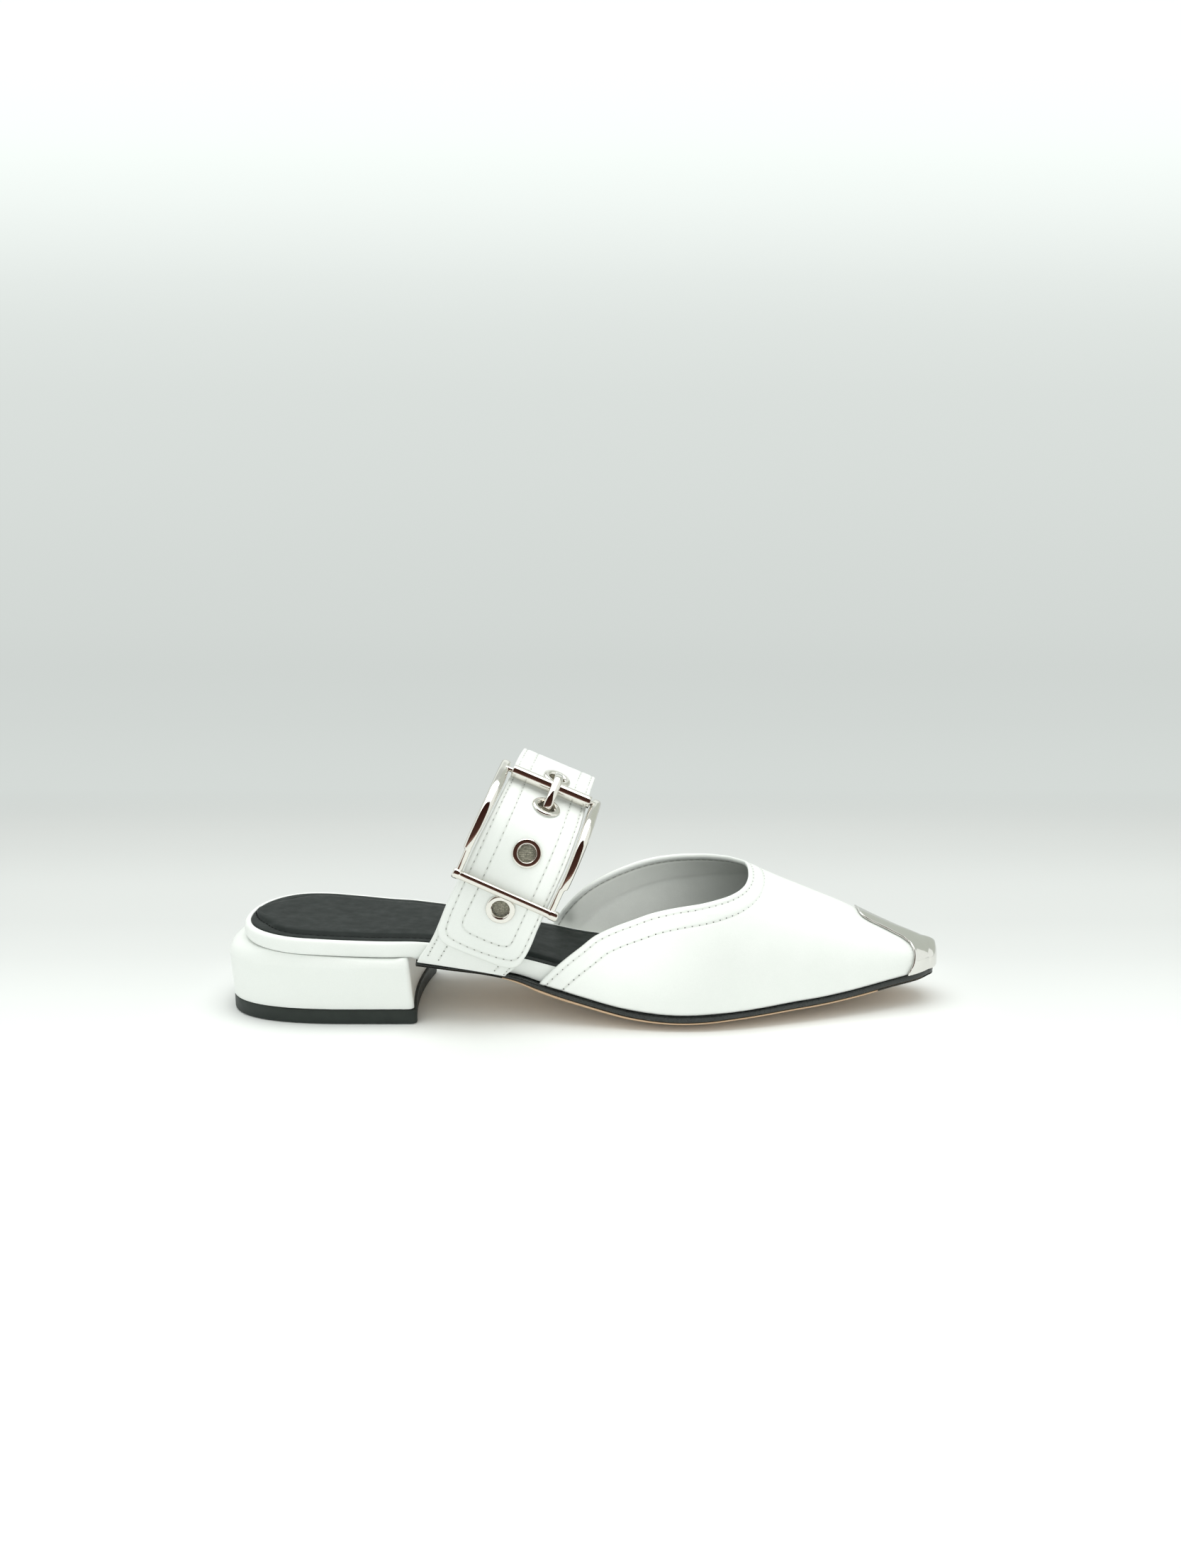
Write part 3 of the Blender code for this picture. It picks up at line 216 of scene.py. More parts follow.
# Rim of the board from the bottom up: part of the overhang, and height below the insole's edge.
RIM = table("out down", [(0.6, 5.4), (0.9, 4.0), (1.0, 2.2), (0.9, 0.6), (0.5, -0.3), (0.0, -0.2),
                         (0.0, 0.9)])
# Strap path seen along its own lean: y, and the climb from its foot on the outer side to the inner one.
PATH = table("y climb", [
    (-31.2, -6), (-31.8, 0), (-33.9, 13), (-35.6, 27), (-36.3, 39), (-35.8, 49.8), (-33.7, 55.1),
    (-30.2, 59.8), (-25.7, 63.4), (-20.5, 65.7), (-9.5, 69.2), (1.5, 72.6), (8.5, 74.7), (15, 75.7),
    (22, 75.2), (28.6, 72.0), (33.4, 66.2), (36.0, 58.0), (36.9, 46), (36.2, 32), (34.3, 16), (31.8, 0),
    (31.6, -6),
])
# Edges of the two strap layers across the strap, by distance from the strap's foot.
OVERLAY_EDGE = table("x heelward toeward", [
    (7.8, -9.0, 9.5), (8.4, -11.8, 12.3), (9.6, -13.9, 14.5), (11.6, -15.3, 15.9), (14.5, -15.9, 16.4),
    (32, -15.9, 16.0), (45, -15.75, 16.1), (52, -15.45, 16.1), (60, -15.05, 15.85), (72, -14.7, 15.7), (82, -14.4, 15.7),
    (98, -14.3, 15.7),
])
BAND_EDGE = table("x heelward toeward", [
    (-6, -17.6, 13.0), (-2.5, -17.55, 13.1), (-1, -17.45, 13.1), (0.7, -17.15, 13.2), (2.4, -16.75, 13.3),
    (5, -16.35, 13.5), (7, -16.2, 14.5), (10, -16.1, 15.5), (14, -16.2, 16.4), (23, -16.5, 16.5), (32, -16.2, 16.4), (45, -15.85, 16.25), (52, -15.55, 16.2),
    (60, -15.15, 15.95), (72, -14.8, 15.8), (82, -14.5, 15.8), (98, -14.4, 15.8),
])
EYELETS = table("along across", [(95.6, 2.0), (71.8, 1.8), (50.8, 1.7), (28.8, 1.4)])
# Buckle side bars from the lower crossbar up: outer and inner edge across the strap, and their depth.
BAR_HEELWARD = table("along outer inner low high", [
    (BAR_S - 0.4, -18.45, -16.2, 0.7, 3.3), (40, -18.45, -16.2, 0.3, 2.8), (44.4, -18.5, -16.25, 0.1, 2.6),
    (45.2, -19.2, -16.3, -0.3, 2.7), (48, -19.35, -16.25, -0.5, 2.7), (51, -19.4, -16.05, -0.5, 2.7),
    (54, -19.4, -15.9, -0.5, 2.7), (57, -19.4, -15.72, -0.5, 2.7), (60, -19.4, -15.6, -0.5, 2.8),
    (64, -19.4, -15.42, -0.5, 2.9), (69, -19.4, -15.3, -0.4, 3.2), (75, -19.4, -15.35, -0.2, 3.5),
    (80, -19.4, -15.55, 0.0, 3.75), (84, -19.35, -15.7, 0.0, 3.75), (87.3, -19.3, -15.8, 0.1, 3.5),
    (88.5, -18.95, -16.1, 0.5, 3.0), (89.1, -18.3, -16.7, 1.1, 2.4),
])
BAR_TOEWARD = table("along outer inner low high", [
    (BAR_S - 0.4, 18.8, 16.4, 0.7, 3.3), (40, 18.8, 16.4, 0.3, 2.8), (44.0, 18.8, 16.45, 0.1, 2.6),
    (44.8, 19.7, 16.65, -0.3, 2.7), (48, 19.85, 16.65, -0.5, 2.7), (51, 19.85, 16.6, -0.5, 2.7),
    (54, 19.9, 16.5, -0.5, 2.7), (57, 19.9, 16.4, -0.5, 2.7), (60, 19.93, 16.3, -0.5, 2.8),
    (64, 19.93, 16.15, -0.5, 2.9), (69, 19.95, 16.05, -0.4, 3.2), (75, 20.0, 16.1, -0.2, 3.5),
    (80, 20.1, 16.35, 0.0, 3.75), (83, 20.15, 16.6, 0.0, 3.75), (85.4, 20.15, 16.7, 0.1, 3.5),
    (86.6, 19.8, 17.0, 0.5, 3.0), (87.2, 19.1, 17.7, 1.1, 2.4),
])
# The prong, from one eyelet over the roller and down into the next.
PRONG = table("along height", [
    (95.3, -1.0), (95.25, 0.2), (94.9, 1.3), (93.9, 2.35), (92.2, 3.3), (90.0, 4.25), (87.6, 5.35), (85.4, 6.3),
    (83.4, 6.75), (81.6, 6.7), (79.8, 6.0), (78.0, 4.9), (76.0, 3.65), (74.2, 2.4), (72.9, 1.1), (72.3, 0.1), (72.15, -1.0),
])
PRONG_ACROSS = 2.0

# ---- from the shoe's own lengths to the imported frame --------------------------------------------
_low, _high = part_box("heel_top_piece")
BACK_OF_TOP_PIECE = 50.0 - 50.2 * math.cos(math.radians(5)) ** (2 / 2.65)
MIDDLE = np.array([BACK_OF_TOP_PIECE - _low.x * 1000, -(_low.y + _high.y) * 500, 0.0])


def place(points):
    return (np.asarray(points, float) - MIDDLE) * MM


# ---- mesh helpers -------------------------------------------------------------------------------
def quads(rows, cols, start=0, flip=False, wrap=False):
    """Faces of a grid of points numbered row by row."""
    r = np.arange(rows - 1)[:, None]
    c = np.arange(cols if wrap else cols - 1)[None, :]
    n = (c + 1) % cols
    a, b = start + r * cols + c, start + r * cols + n
    d, e = start + (r + 1) * cols + n, start + (r + 1) * cols + c
    found = np.stack([a, b, d, e], -1).reshape(-1, 4)
    return (found[:, ::-1] if flip else found).tolist()


def piece(name, points, faces, looks, stands_for=(), face_looks=None, wear_and_painted_shade=None, weld=False,
          sharp=40, stage=False, orient=True):
    """One visible piece from points in millimetres."""
    mesh = bpy.data.meshes.new(name)
    mesh.from_pydata(place(points).tolist(), [], faces)
    for look in looks:
        mesh.materials.append(look)
    if face_looks is not None:
        mesh.polygons.foreach_set("material_index", np.asarray(face_looks, np.int32))
    if wear_and_painted_shade is not None:
        mesh.attributes.new("wear_and_painted_shade", "FLOAT", "POINT").data.foreach_set("value", np.asarray(wear_and_painted_shade, np.float32))
    if weld or orient:
        work = bmesh.new()
        work.from_mesh(mesh)
        if weld:
            bmesh.ops.remove_doubles(work, verts=work.verts, dist=2e-6)
            bmesh.ops.dissolve_degenerate(work, dist=1e-7, edges=work.edges)
        if orient:
            bmesh.ops.recalc_face_normals(work, faces=work.faces)
            if work.calc_volume(signed=True) < 0:
                bmesh.ops.reverse_faces(work, faces=work.faces)
        work.to_mesh(mesh)
        work.free()
    mesh.shade_smooth()
    mesh.set_sharp_from_angle(angle=math.radians(sharp))
    made = bpy.data.objects.new(name, mesh)
    bpy.context.scene.collection.objects.link(made)
    if stage:
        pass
    else:
        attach(made, "root")
        if stands_for:
            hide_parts(*stands_for)
    return made


def gauss(d, middle, width):
    return np.exp(-((d - middle) / width) ** 2)


def monotone(xs, ys, x):
    """A soft curve through the points that never swings past them."""
    xs, ys = np.asarray(xs, float), np.asarray(ys, float)
    turned = xs[0] > xs[-1]
    if turned:
        xs, ys = xs[::-1], ys[::-1]
    h = np.diff(xs)
    d = np.diff(ys) / h
    m = np.zeros(len(xs))
    for k in range(1, len(xs) - 1):
        if d[k - 1] * d[k] > 0:
            w1, w2 = 2 * h[k] + h[k - 1], h[k] + 2 * h[k - 1]
            m[k] = (w1 + w2) / (w1 / d[k - 1] + w2 / d[k])
    m[0], m[-1] = d[0], d[-1]
    x = np.clip(np.asarray(x, float), xs[0], xs[-1])
    k = np.clip(np.searchsorted(xs, x, side="right") - 1, 0, len(xs) - 2)
    u = (x - xs[k]) / h[k]
    return ((2 * u**3 - 3 * u**2 + 1) * ys[k] + (u**3 - 2 * u**2 + u) * h[k] * m[k]
            + (3 * u**2 - 2 * u**3) * ys[k + 1] + (u**3 - u**2) * h[k] * m[k + 1])


def superellipse(phi, power):
    """(along, across) of a rounded end at angle phi, both from 0 to 1."""
    return np.cos(phi) ** (2 / power), np.sin(phi) ** (2 / power)


def unit(v):
    return v / np.maximum(np.linalg.norm(v, axis=-1, keepdims=True), 1e-12)


def resample(line, pitch, start=0.0, end=0.0):
    """Places along a line of points at an even pitch, with their distances along it and its running length."""
    line = np.asarray(line, float)
    seg = np.linalg.norm(np.diff(line, axis=0), axis=1)
    length = np.concatenate([[0], np.cumsum(seg)])
    count = max(int(round((length[-1] - start - end) / pitch)), 1)
    where = np.linspace(start, length[-1] - end, count + 1)
    at_these = np.stack([np.interp(where, length, line[:, k]) for k in range(line.shape[1])], 1)
    return at_these, where, length


def beads(centres, runs, ups, half_long, half_wide, half_high, around=8, along=7, power=1.0):
    """Small rounded bodies, one at each centre: long along its run, raised along its up."""
    count = len(centres)
    runs, ups = unit(np.asarray(runs)), np.asarray(ups)
    ups = unit(ups - runs * (ups * runs).sum(1, keepdims=True))
    sides = np.cross(runs, ups)
    a = np.linspace(0, math.pi, along)
    b = np.linspace(0, 2 * math.pi, around, endpoint=False)
    ring_x = -np.cos(a)
    ring_r = np.maximum(np.sin(a), 0) ** power
    template = [[-1, 0, 0]]
    for x, r in zip(ring_x[1:-1], ring_r[1:-1]):
        template += [[x, r * math.cos(t), r * math.sin(t)] for t in b]
    template.append([1, 0, 0])
    template = np.array(template)
    size = np.stack(np.broadcast_arrays(half_long, half_wide, half_high), -1).reshape(-1, 3)
    size = np.broadcast_to(size, (count, 3))
    local = template[None] * size[:, None]
    points = (centres[:, None] + local[..., :1] * runs[:, None] + local[..., 1:2] * sides[:, None]
              + local[..., 2:] * ups[:, None])
    m = len(template)
    faces = []
    rings = along - 2
    for t in range(around):
        n = (t + 1) % around
        faces.append((0, 1 + n, 1 + t))
        for k in range(rings - 1):
            faces.append((1 + k * around + t, 1 + k * around + n, 1 + (k + 1) * around + n, 1 + (k + 1) * around + t))
        last = 1 + (rings - 1) * around
        faces.append((m - 1, last + t, last + n))
    everything = []
    for k in range(count):
        everything += [tuple(i + k * m for i in f) for f in faces]
    return points.reshape(-1, 3), everything


def joined(parts):
    points, faces, start = [], [], 0
    for p, f in parts:
        points.append(np.asarray(p, float).reshape(-1, 3))
        faces += [tuple(i + start for i in one) for one in f]
        start += len(points[-1])
    return np.concatenate(points), faces


# ---- finishes -----------------------------------------------------------------------------------
def finish_of(name, base, second, rough, rough_swing=0.05, patch=14.0, patch_mix=1.0, metallic=0.0, specular=0.5,
              grain=0.0, grain_size=0.5, fine=0.0, fine_size=0.16, soft=0.0, soft_size=6.0, wear_and_shade_colour=None,
              wear_and_shade_mix=0.5, coat=0.0, coat_rough=0.2, sheen=0.0, stretch=(1, 1, 1), specks=0.0, speck_colour=(1, 1, 1),
              rim=None):
    """A procedural finish. Sizes are in millimetres on the object; grain, fine and soft are depths."""
    look = bpy.data.materials.new(name)
    look.use_nodes = True
    nodes, links = look.node_tree.nodes, look.node_tree.links
    shader = nodes["Principled BSDF"]
    shader.inputs["Metallic"].default_value = metallic
    shader.inputs["Specular IOR Level"].default_value = specular
    if coat:
        shader.inputs["Coat Weight"].default_value = coat
        shader.inputs["Coat Roughness"].default_value = coat_rough
    if sheen:
        shader.inputs["Sheen Weight"].default_value = sheen
        shader.inputs["Sheen Roughness"].default_value = 0.4
    coords = nodes.new("ShaderNodeTexCoord")
    mapping = nodes.new("ShaderNodeMapping")
    mapping.inputs["Scale"].default_value = [1000.0 * k for k in stretch]
    links.new(coords.outputs["Object"], mapping.inputs["Vector"])
    where = mapping.outputs["Vector"]

    def noise(size, detail=3.0, roughness=0.55):
        node = nodes.new("ShaderNodeTexNoise")
        node.inputs["Scale"].default_value = 1.0 / size
        node.inputs["Detail"].default_value = detail
        node.inputs["Roughness"].default_value = roughness
        links.new(where, node.inputs["Vector"])
        return node.outputs["Fac"]

    def ranged(value, low, high, to_low, to_high):
        node = nodes.new("ShaderNodeMapRange")
        node.inputs["From Min"].default_value = low
        node.inputs["From Max"].default_value = high
        node.inputs["To Min"].default_value = to_low
        node.inputs["To Max"].default_value = to_high
        links.new(value, node.inputs["Value"])
        return node.outputs["Result"]

    def mixed(factor, one, two):
        node = nodes.new("ShaderNodeMix")
        node.data_type = "RGBA"
        links.new(factor, node.inputs["Factor"])
        for socket, value in (("A", one), ("B", two)):
            target = [i for i in node.inputs if i.name == socket and i.type == "RGBA"][0]
            if isinstance(value, (tuple, list)):
                target.default_value = (*value, 1.0)
            else:
                links.new(value, target)
        return [o for o in node.outputs if o.type == "RGBA"][0]

    patches = ranged(noise(patch, 4.0), 0.32, 0.68, 0.0, patch_mix)
    colour = mixed(patches, base, second)
    if grain or fine:
        pores = ranged(noise(max(grain_size * 0.8, 0.25), 2.0), 0.35, 0.62, 0.0, 0.35)
        darker = tuple(c * 0.93 for c in base)
        colour = mixed(pores, colour, darker)
    # Darker where a mesh attribute asks: edge wear, and painted shade along seams and where parts meet.
    if wear_and_shade_colour is not None:
        attribute = nodes.new("ShaderNodeAttribute")
        attribute.attribute_name = "wear_and_painted_shade"
        colour = mixed(ranged(attribute.outputs["Fac"], 0.0, 1.0, 0.0, wear_and_shade_mix), colour, wear_and_shade_colour)
    if specks:
        spots = nodes.new("ShaderNodeTexVoronoi")
        spots.inputs["Scale"].default_value = 0.16
        links.new(where, spots.inputs["Vector"])
        colour = mixed(ranged(spots.outputs["Distance"], 0.03, 0.055, specks, 0.0), colour, speck_colour)
    # Painted reflection: toward grazing angles the colour is darkened, giving polished edges a dark outline.
    if rim is not None:
        painted_edge_shade = nodes.new("ShaderNodeLayerWeight")
        painted_edge_shade.inputs["Blend"].default_value = 0.5
        colour = mixed(ranged(painted_edge_shade.outputs["Facing"], rim[0], rim[1], 0.0, rim[2]), colour, rim[3])
    links.new(colour, shader.inputs["Base Color"])
    links.new(ranged(noise(patch * 0.45, 3.0), 0.3, 0.7, rough - rough_swing, rough + rough_swing),
              shader.inputs["Roughness"])
    normal = None

    def bump(height, depth):
        nonlocal normal
        node = nodes.new("ShaderNodeBump")
        node.inputs["Strength"].default_value = 1.0
        node.inputs["Distance"].default_value = depth * 0.001
        links.new(height, node.inputs["Height"])
        if normal is not None:
            links.new(normal, node.inputs["Normal"])
        normal = node.outputs["Normal"]

    if soft:
        bump(noise(soft_size, 2.0), soft)
    if grain:
        cells = nodes.new("ShaderNodeTexVoronoi")
        cells.feature = "SMOOTH_F1"
        cells.inputs["Scale"].default_value = 1.0 / grain_size
        links.new(where, cells.inputs["Vector"])
        bump(cells.outputs["Distance"], grain)
    if fine:
        bump(noise(fine_size, 2.0, 0.6), fine)
    if normal is not None:
        links.new(normal, shader.inputs["Normal"])
    return look


def woven(name, light, dark):
    """A coarse lining cloth: two sets of threads crossing, one of them bolder."""
    look = finish_of(name, light, dark, 0.8, 0.05, patch=0.6)
    nodes, links = look.node_tree.nodes, look.node_tree.links
    shader = nodes["Principled BSDF"]
    mapping = [n for n in nodes if n.type == "MAPPING"][0]
    old = shader.inputs["Base Color"].links[0].from_socket
    heights = []
    for direction, size in (("Z", 0.62), ("X", 0.50)):
        wave = nodes.new("ShaderNodeTexWave")
        wave.bands_direction = direction
        wave.inputs["Scale"].default_value = 0.314 / size
        wave.inputs["Distortion"].default_value = 1.2
        wave.inputs["Detail"].default_value = 2.0
        wave.inputs["Detail Scale"].default_value = 1.5
        links.new(mapping.outputs["Vector"], wave.inputs["Vector"])
        heights.append(wave.outputs["Fac"])
    last = old
    for height, amount in zip(heights, (0.75, 0.3)):
        ramp = nodes.new("ShaderNodeMapRange")
        ramp.inputs["To Min"].default_value = amount
        ramp.inputs["To Max"].default_value = 0.0
        links.new(height, ramp.inputs["Value"])
        mix = nodes.new("ShaderNodeMix")
        mix.data_type = "RGBA"
        links.new(ramp.outputs["Result"], mix.inputs["Factor"])
        a, b = [i for i in mix.inputs if i.type == "RGBA"]
        links.new(last, a)
        b.default_value = (*dark, 1.0)
        last = [o for o in mix.outputs if o.type == "RGBA"][0]
    links.new(last, shader.inputs["Base Color"])
    bump = nodes.new("ShaderNodeBump")
    bump.inputs["Distance"].default_value = 0.00008
    links.new(heights[0], bump.inputs["Height"])
    links.new(bump.outputs["Normal"], shader.inputs["Normal"])
    return look


white = finish_of("white_leather_look", (0.83, 0.85, 0.825), (0.80, 0.825, 0.795), 0.40, 0.05, patch=18.0,
                  grain=0.012, grain_size=0.55, fine=0.004, soft=0.05, soft_size=7.0,
                  wear_and_shade_colour=(0.42, 0.43, 0.40), wear_and_shade_mix=0.45, sheen=0.03)
heel_white = finish_of("heel_wrap_look", (0.83, 0.85, 0.825), (0.81, 0.835, 0.805), 0.36, 0.05, patch=16.0,
                       grain=0.008, grain_size=0.5, fine=0.003, soft=0.04, soft_size=9.0,
                       wear_and_shade_colour=(0.42, 0.43, 0.40), wear_and_shade_mix=0.45)
lining = finish_of("lining_look", (0.80, 0.82, 0.785), (0.75, 0.77, 0.735), 0.46, 0.06, patch=9.0,
                   grain=0.02, grain_size=0.7, fine=0.006, soft=0.08, soft_size=4.0,
                   wear_and_shade_colour=(0.34, 0.355, 0.32), wear_and_shade_mix=0.6)
black_leather = finish_of("insole_leather_look", (0.0105, 0.0150, 0.0135), (0.0075, 0.0110, 0.0098), 0.44, 0.06, patch=9.0,
                          specular=0.11, grain=0.012, grain_size=0.45, fine=0.006, soft=0.035, soft_size=3.5, specks=0.12,
                          speck_colour=(0.10, 0.11, 0.10), wear_and_shade_colour=(0.045, 0.055, 0.05), wear_and_shade_mix=0.5)
black_thread = finish_of("black_thread_look", (0.004, 0.005, 0.005), (0.007, 0.008, 0.008), 0.5, 0.08, patch=0.7,
                         specular=0.06, fine=0.02, fine_size=0.14)
rubber = finish_of("top_piece_rubber_look", (0.021, 0.0285, 0.0245), (0.0165, 0.0225, 0.0195), 0.50, 0.06, patch=5.0,
                   specular=0.32, wear_and_shade_colour=(0.16, 0.18, 0.16), wear_and_shade_mix=0.6, fine=0.012, fine_size=0.22, soft=0.02, soft_size=2.0, specks=0.12, speck_colour=(0.16, 0.17, 0.16))
black_edge = finish_of("edge_paint_look", (0.012, 0.015, 0.014), (0.020, 0.024, 0.022), 0.30, 0.08, patch=2.4,
                       fine=0.010, fine_size=0.35, soft=0.08, soft_size=1.6)
tan_leather = finish_of("sole_leather_look", (0.55, 0.385, 0.245), (0.47, 0.32, 0.195), 0.55, 0.08, patch=4.0,
                        grain=0.02, grain_size=0.35, fine=0.012, fine_size=0.2, stretch=(0.4, 1, 1))
# Painted reflection on both metals: their warm tint and the darker colour at grazing angles stand in for the
# surroundings they reflect.
nickel = finish_of("nickel_look", (0.84, 0.815, 0.765), (0.80, 0.775, 0.72), 0.05, 0.02, patch=3.0, metallic=1.0,
                   fine=0.0010, fine_size=0.6, rim=(0.74, 0.93, 0.85, (0.17, 0.16, 0.125)))
nickel_plate = finish_of("toe_plate_look", (0.80, 0.79, 0.755), (0.78, 0.765, 0.73), 0.10, 0.03, patch=4.0, metallic=1.0,
                         fine=0.0008, fine_size=0.6, rim=(0.86, 0.97, 0.7, (0.22, 0.215, 0.18)))
thread = finish_of("white_thread_look", (0.78, 0.80, 0.77), (0.66, 0.68, 0.64), 0.55, 0.06, patch=0.6,
                   fine=0.02, fine_size=0.16)
# Painted shade: the lining's thread is greyed to stand for the shadow under each stitch.
lining_thread_painted_shade = finish_of("lining_thread_look", (0.40, 0.41, 0.38), (0.26, 0.27, 0.245), 0.6, 0.06, patch=0.6,
                        fine=0.02, fine_size=0.16)
# Painted shade: these dark beads stand for the shade inside the needle holes.
needle_hole_shade = finish_of("needle_hole_look", (0.115, 0.118, 0.11), (0.17, 0.172, 0.16), 0.85, 0.05, patch=0.3, specular=0.1)
seam_shade = finish_of("seam_shade_look", (0.22, 0.225, 0.21), (0.32, 0.325, 0.30), 0.8, 0.05, patch=0.4, specular=0.1)
weave = woven("eyelet_backing_look", (0.60, 0.57, 0.46), (0.13, 0.125, 0.095))

# ---- plan outlines ------------------------------------------------------------------------------
def closing(x, tip):
    s = np.clip((np.asarray(x, float) - TOE_FROM) / (tip - TOE_FROM), 0, 1)
    return (1 - s ** TOE_POWER) ** (1 / TOE_POWER)


def toe_rows(tip, angles):
    return [TOE_FROM + (tip - TOE_FROM) * math.sin(math.radians(a)) ** (2 / TOE_POWER) for a in angles]


def sole_sides(x):
    """y of the sole's outer and inner side."""
    mid, shut = at(LAST, "ridge_y", x), closing(x, SOLE_TIP_X)
    return mid + (at(SOLE, "lateral", x) - mid) * shut, mid + (at(SOLE, "medial", x) - mid) * shut


def crown(x, y):
    a, b = sole_sides(x)
    s = np.abs(y - (a + b) / 2) / np.maximum((b - a) / 2, 0.05)
    return np.clip((np.minimum(s, 1.0) - 0.35) / 0.65, 0, 1) ** 2


def sole_face(level, x, y):
    """Height of one of the thin sole's four faces: 0 and 1 of the outsole, 2 and 3 of the black band."""
    edge = at(SOLE, "edge_z", x)
    flat = (np.asarray(x) >= FLAT_FROM) & (np.asarray(x) <= FLAT_TO)
    mid = np.where(flat, 0.0, np.maximum(at(SOLE, "floor", x), 0.0))
    edges = (edge - at(SOLE, "band", x) - GAP - at(SOLE, "tan", x), edge - at(SOLE, "band", x) - GAP,
             edge - at(SOLE, "band", x), edge)
    mids = (mid, mid + at(SOLE, "tan_mid", x), mid + at(SOLE, "tan_mid", x) + GAP,
            mid + at(SOLE, "tan_mid", x) + GAP + at(SOLE, "band_mid", x))
    return mids[level] + (edges[level] - mids[level]) * crown(x, y)


def stack(levels, spread, low, high, bows=None, fade=None):
    """Points and faces of a closed piece from plan outlines, bottom one first.

    Each level is (outer side, inner side), rows of points from heel to toe. low and high give the
    heights of the lower and upper face at (x, y).
    """
    rows = len(levels[0][0])
    last_row = rows - 1
    spread = np.asarray(spread, float)
    cols = len(spread)
    points, faces, start = [], [], 0

    def sheet(k, rows_wanted):
        a, b = np.asarray(levels[k][0])[rows_wanted], np.asarray(levels[k][1])[rows_wanted]
        p = a[:, None] + (b - a)[:, None] * spread[None, :, None]
        if bows is not None:
            p[..., 0] += bows[k] * np.asarray(fade)[rows_wanted][:, None] * (1 - (2 * spread - 1) ** 2)[None]
        return p

    rings = []
    grids = {}
    for k in range(len(levels)):
        if k in (0, len(levels) - 1):
            p = sheet(k, np.arange(rows))
            face = low if k == 0 else high
            p[:, 1:-1, 2] = face(p[:, 1:-1, 0], p[:, 1:-1, 1])
            ids = start + np.arange(rows * cols).reshape(rows, cols)
            points.append(p.reshape(-1, 3))
            start += rows * cols
            grids[k] = ids
            ring = np.concatenate([ids[:, 0], ids[-1, 1:-1], ids[::-1, -1], ids[0, 1:-1][::-1]])
        else:
            p = sheet(k, np.array([0, last_row]))
            a, b = np.asarray(levels[k][0]), np.asarray(levels[k][1])
            loop = np.concatenate([a, p[1, 1:-1], b[::-1], p[0, 1:-1][::-1]])
            points.append(loop)
            ring = start + np.arange(len(loop))
            start += len(loop)
        rings.append(ring)
    for one, two in zip(rings, rings[1:]):
        nxt, nxt2 = np.roll(one, -1), np.roll(two, -1)
        faces += np.stack([one, nxt, nxt2, two], 1).tolist()
    for k, ids in grids.items():
        faces += np.stack([ids[:-1, :-1], ids[:-1, 1:], ids[1:, 1:], ids[1:, :-1]], -1).reshape(-1, 4).tolist()
    return np.concatenate(points), faces


FINE_SPREAD = np.concatenate([[0, 0.01, 0.03, 0.06, 0.1], np.linspace(0.15, 0.85, 15), [0.9, 0.94, 0.97, 0.99, 1]])
SOLE_ROWS = np.concatenate([np.linspace(SOLE_START, TOE_FROM, 96), toe_rows(SOLE_TIP_X, np.linspace(9, 87, 18))])
SOLE_HOLLOW = -1.6


def sole_layer(low, high, insets):
    """One layer of the thin sole, its edge rounded by insets of (part of its height, inset)."""
    a, b = sole_sides(SOLE_ROWS)
    half = (b - a) / 2
    levels = []
    for part, inset in insets:
        level = []
        for side, y in ((-1, a), (1, b)):
            z = sole_face(low, SOLE_ROWS, y) * (1 - part) + sole_face(high, SOLE_ROWS, y) * part
            pull = np.minimum(inset, half * 0.6)
            x = SOLE_ROWS - inset * np.clip((SOLE_ROWS - TOE_FROM) / (SOLE_TIP_X - TOE_FROM), 0, 1) ** 2
            level.append(np.stack([x, y - side * pull, z], 1))
        levels.append(tuple(level))
    fade = np.interp(SOLE_ROWS, [72, 80], [1.0, 0.0])
    return stack(levels, FINE_SPREAD, lambda x, y: sole_face(low, x, y), lambda x, y: sole_face(high, x, y),
                 bows=[SOLE_HOLLOW] * len(levels), fade=fade)


# ---- footbed ------------------------------------------------------------------------------------
HEEL_END_X, HEEL_END_FROM, HEEL_END_POWER = 7.3, 33.0, 2.25
BOARD_TIP_X = 263.0
BACK_ANGLES = np.linspace(2.5, 87, 26)
FOOTBED_ROWS = np.concatenate([np.linspace(HEEL_END_FROM, TOE_FROM, 96), toe_rows(BOARD_TIP_X, np.linspace(9, 85, 12))])


def footbed_side(x, side):
    """y of the insole's edge; side is -1 outer, +1 inner."""
    near = side * at(INSOLE_W, "half", x)
    ridge = at(LAST, "ridge_y", x)
    feather = at(LAST, "lateral" if side < 0 else "medial", x)
    far = ridge + (feather - side * at(MARGIN, "inset", x) - ridge) * closing(x, BOARD_TIP_X)
    blend = np.clip((x - 120) / 13, 0, 1)
    return near + (far - near) * blend


def footbed_outline():
    sides = []
    along, across = superellipse(np.radians(BACK_ANGLES), HEEL_END_POWER)
    for side in (-1, 1):
        back = np.stack([HEEL_END_FROM - (HEEL_END_FROM - HEEL_END_X) * along,
                         side * INSOLE_W["half"][0] * across], 1)
        front = np.stack([FOOTBED_ROWS, footbed_side(FOOTBED_ROWS, side)], 1)
        sides.append(np.concatenate([back, front]))
    return sides


def outward(sides):
    loop = np.concatenate([sides[0], sides[1][::-1]])
    run = np.roll(loop, -1, axis=0) - np.roll(loop, 1, axis=0)
    normal = unit(np.stack([run[:, 1], -run[:, 0]], 1))
    if normal[0, 0] > 0:
        normal = -normal
    count = len(sides[0])
    return normal[:count], normal[count:][::-1]


OUTLINE = footbed_outline()
NORMALS = outward(OUTLINE)


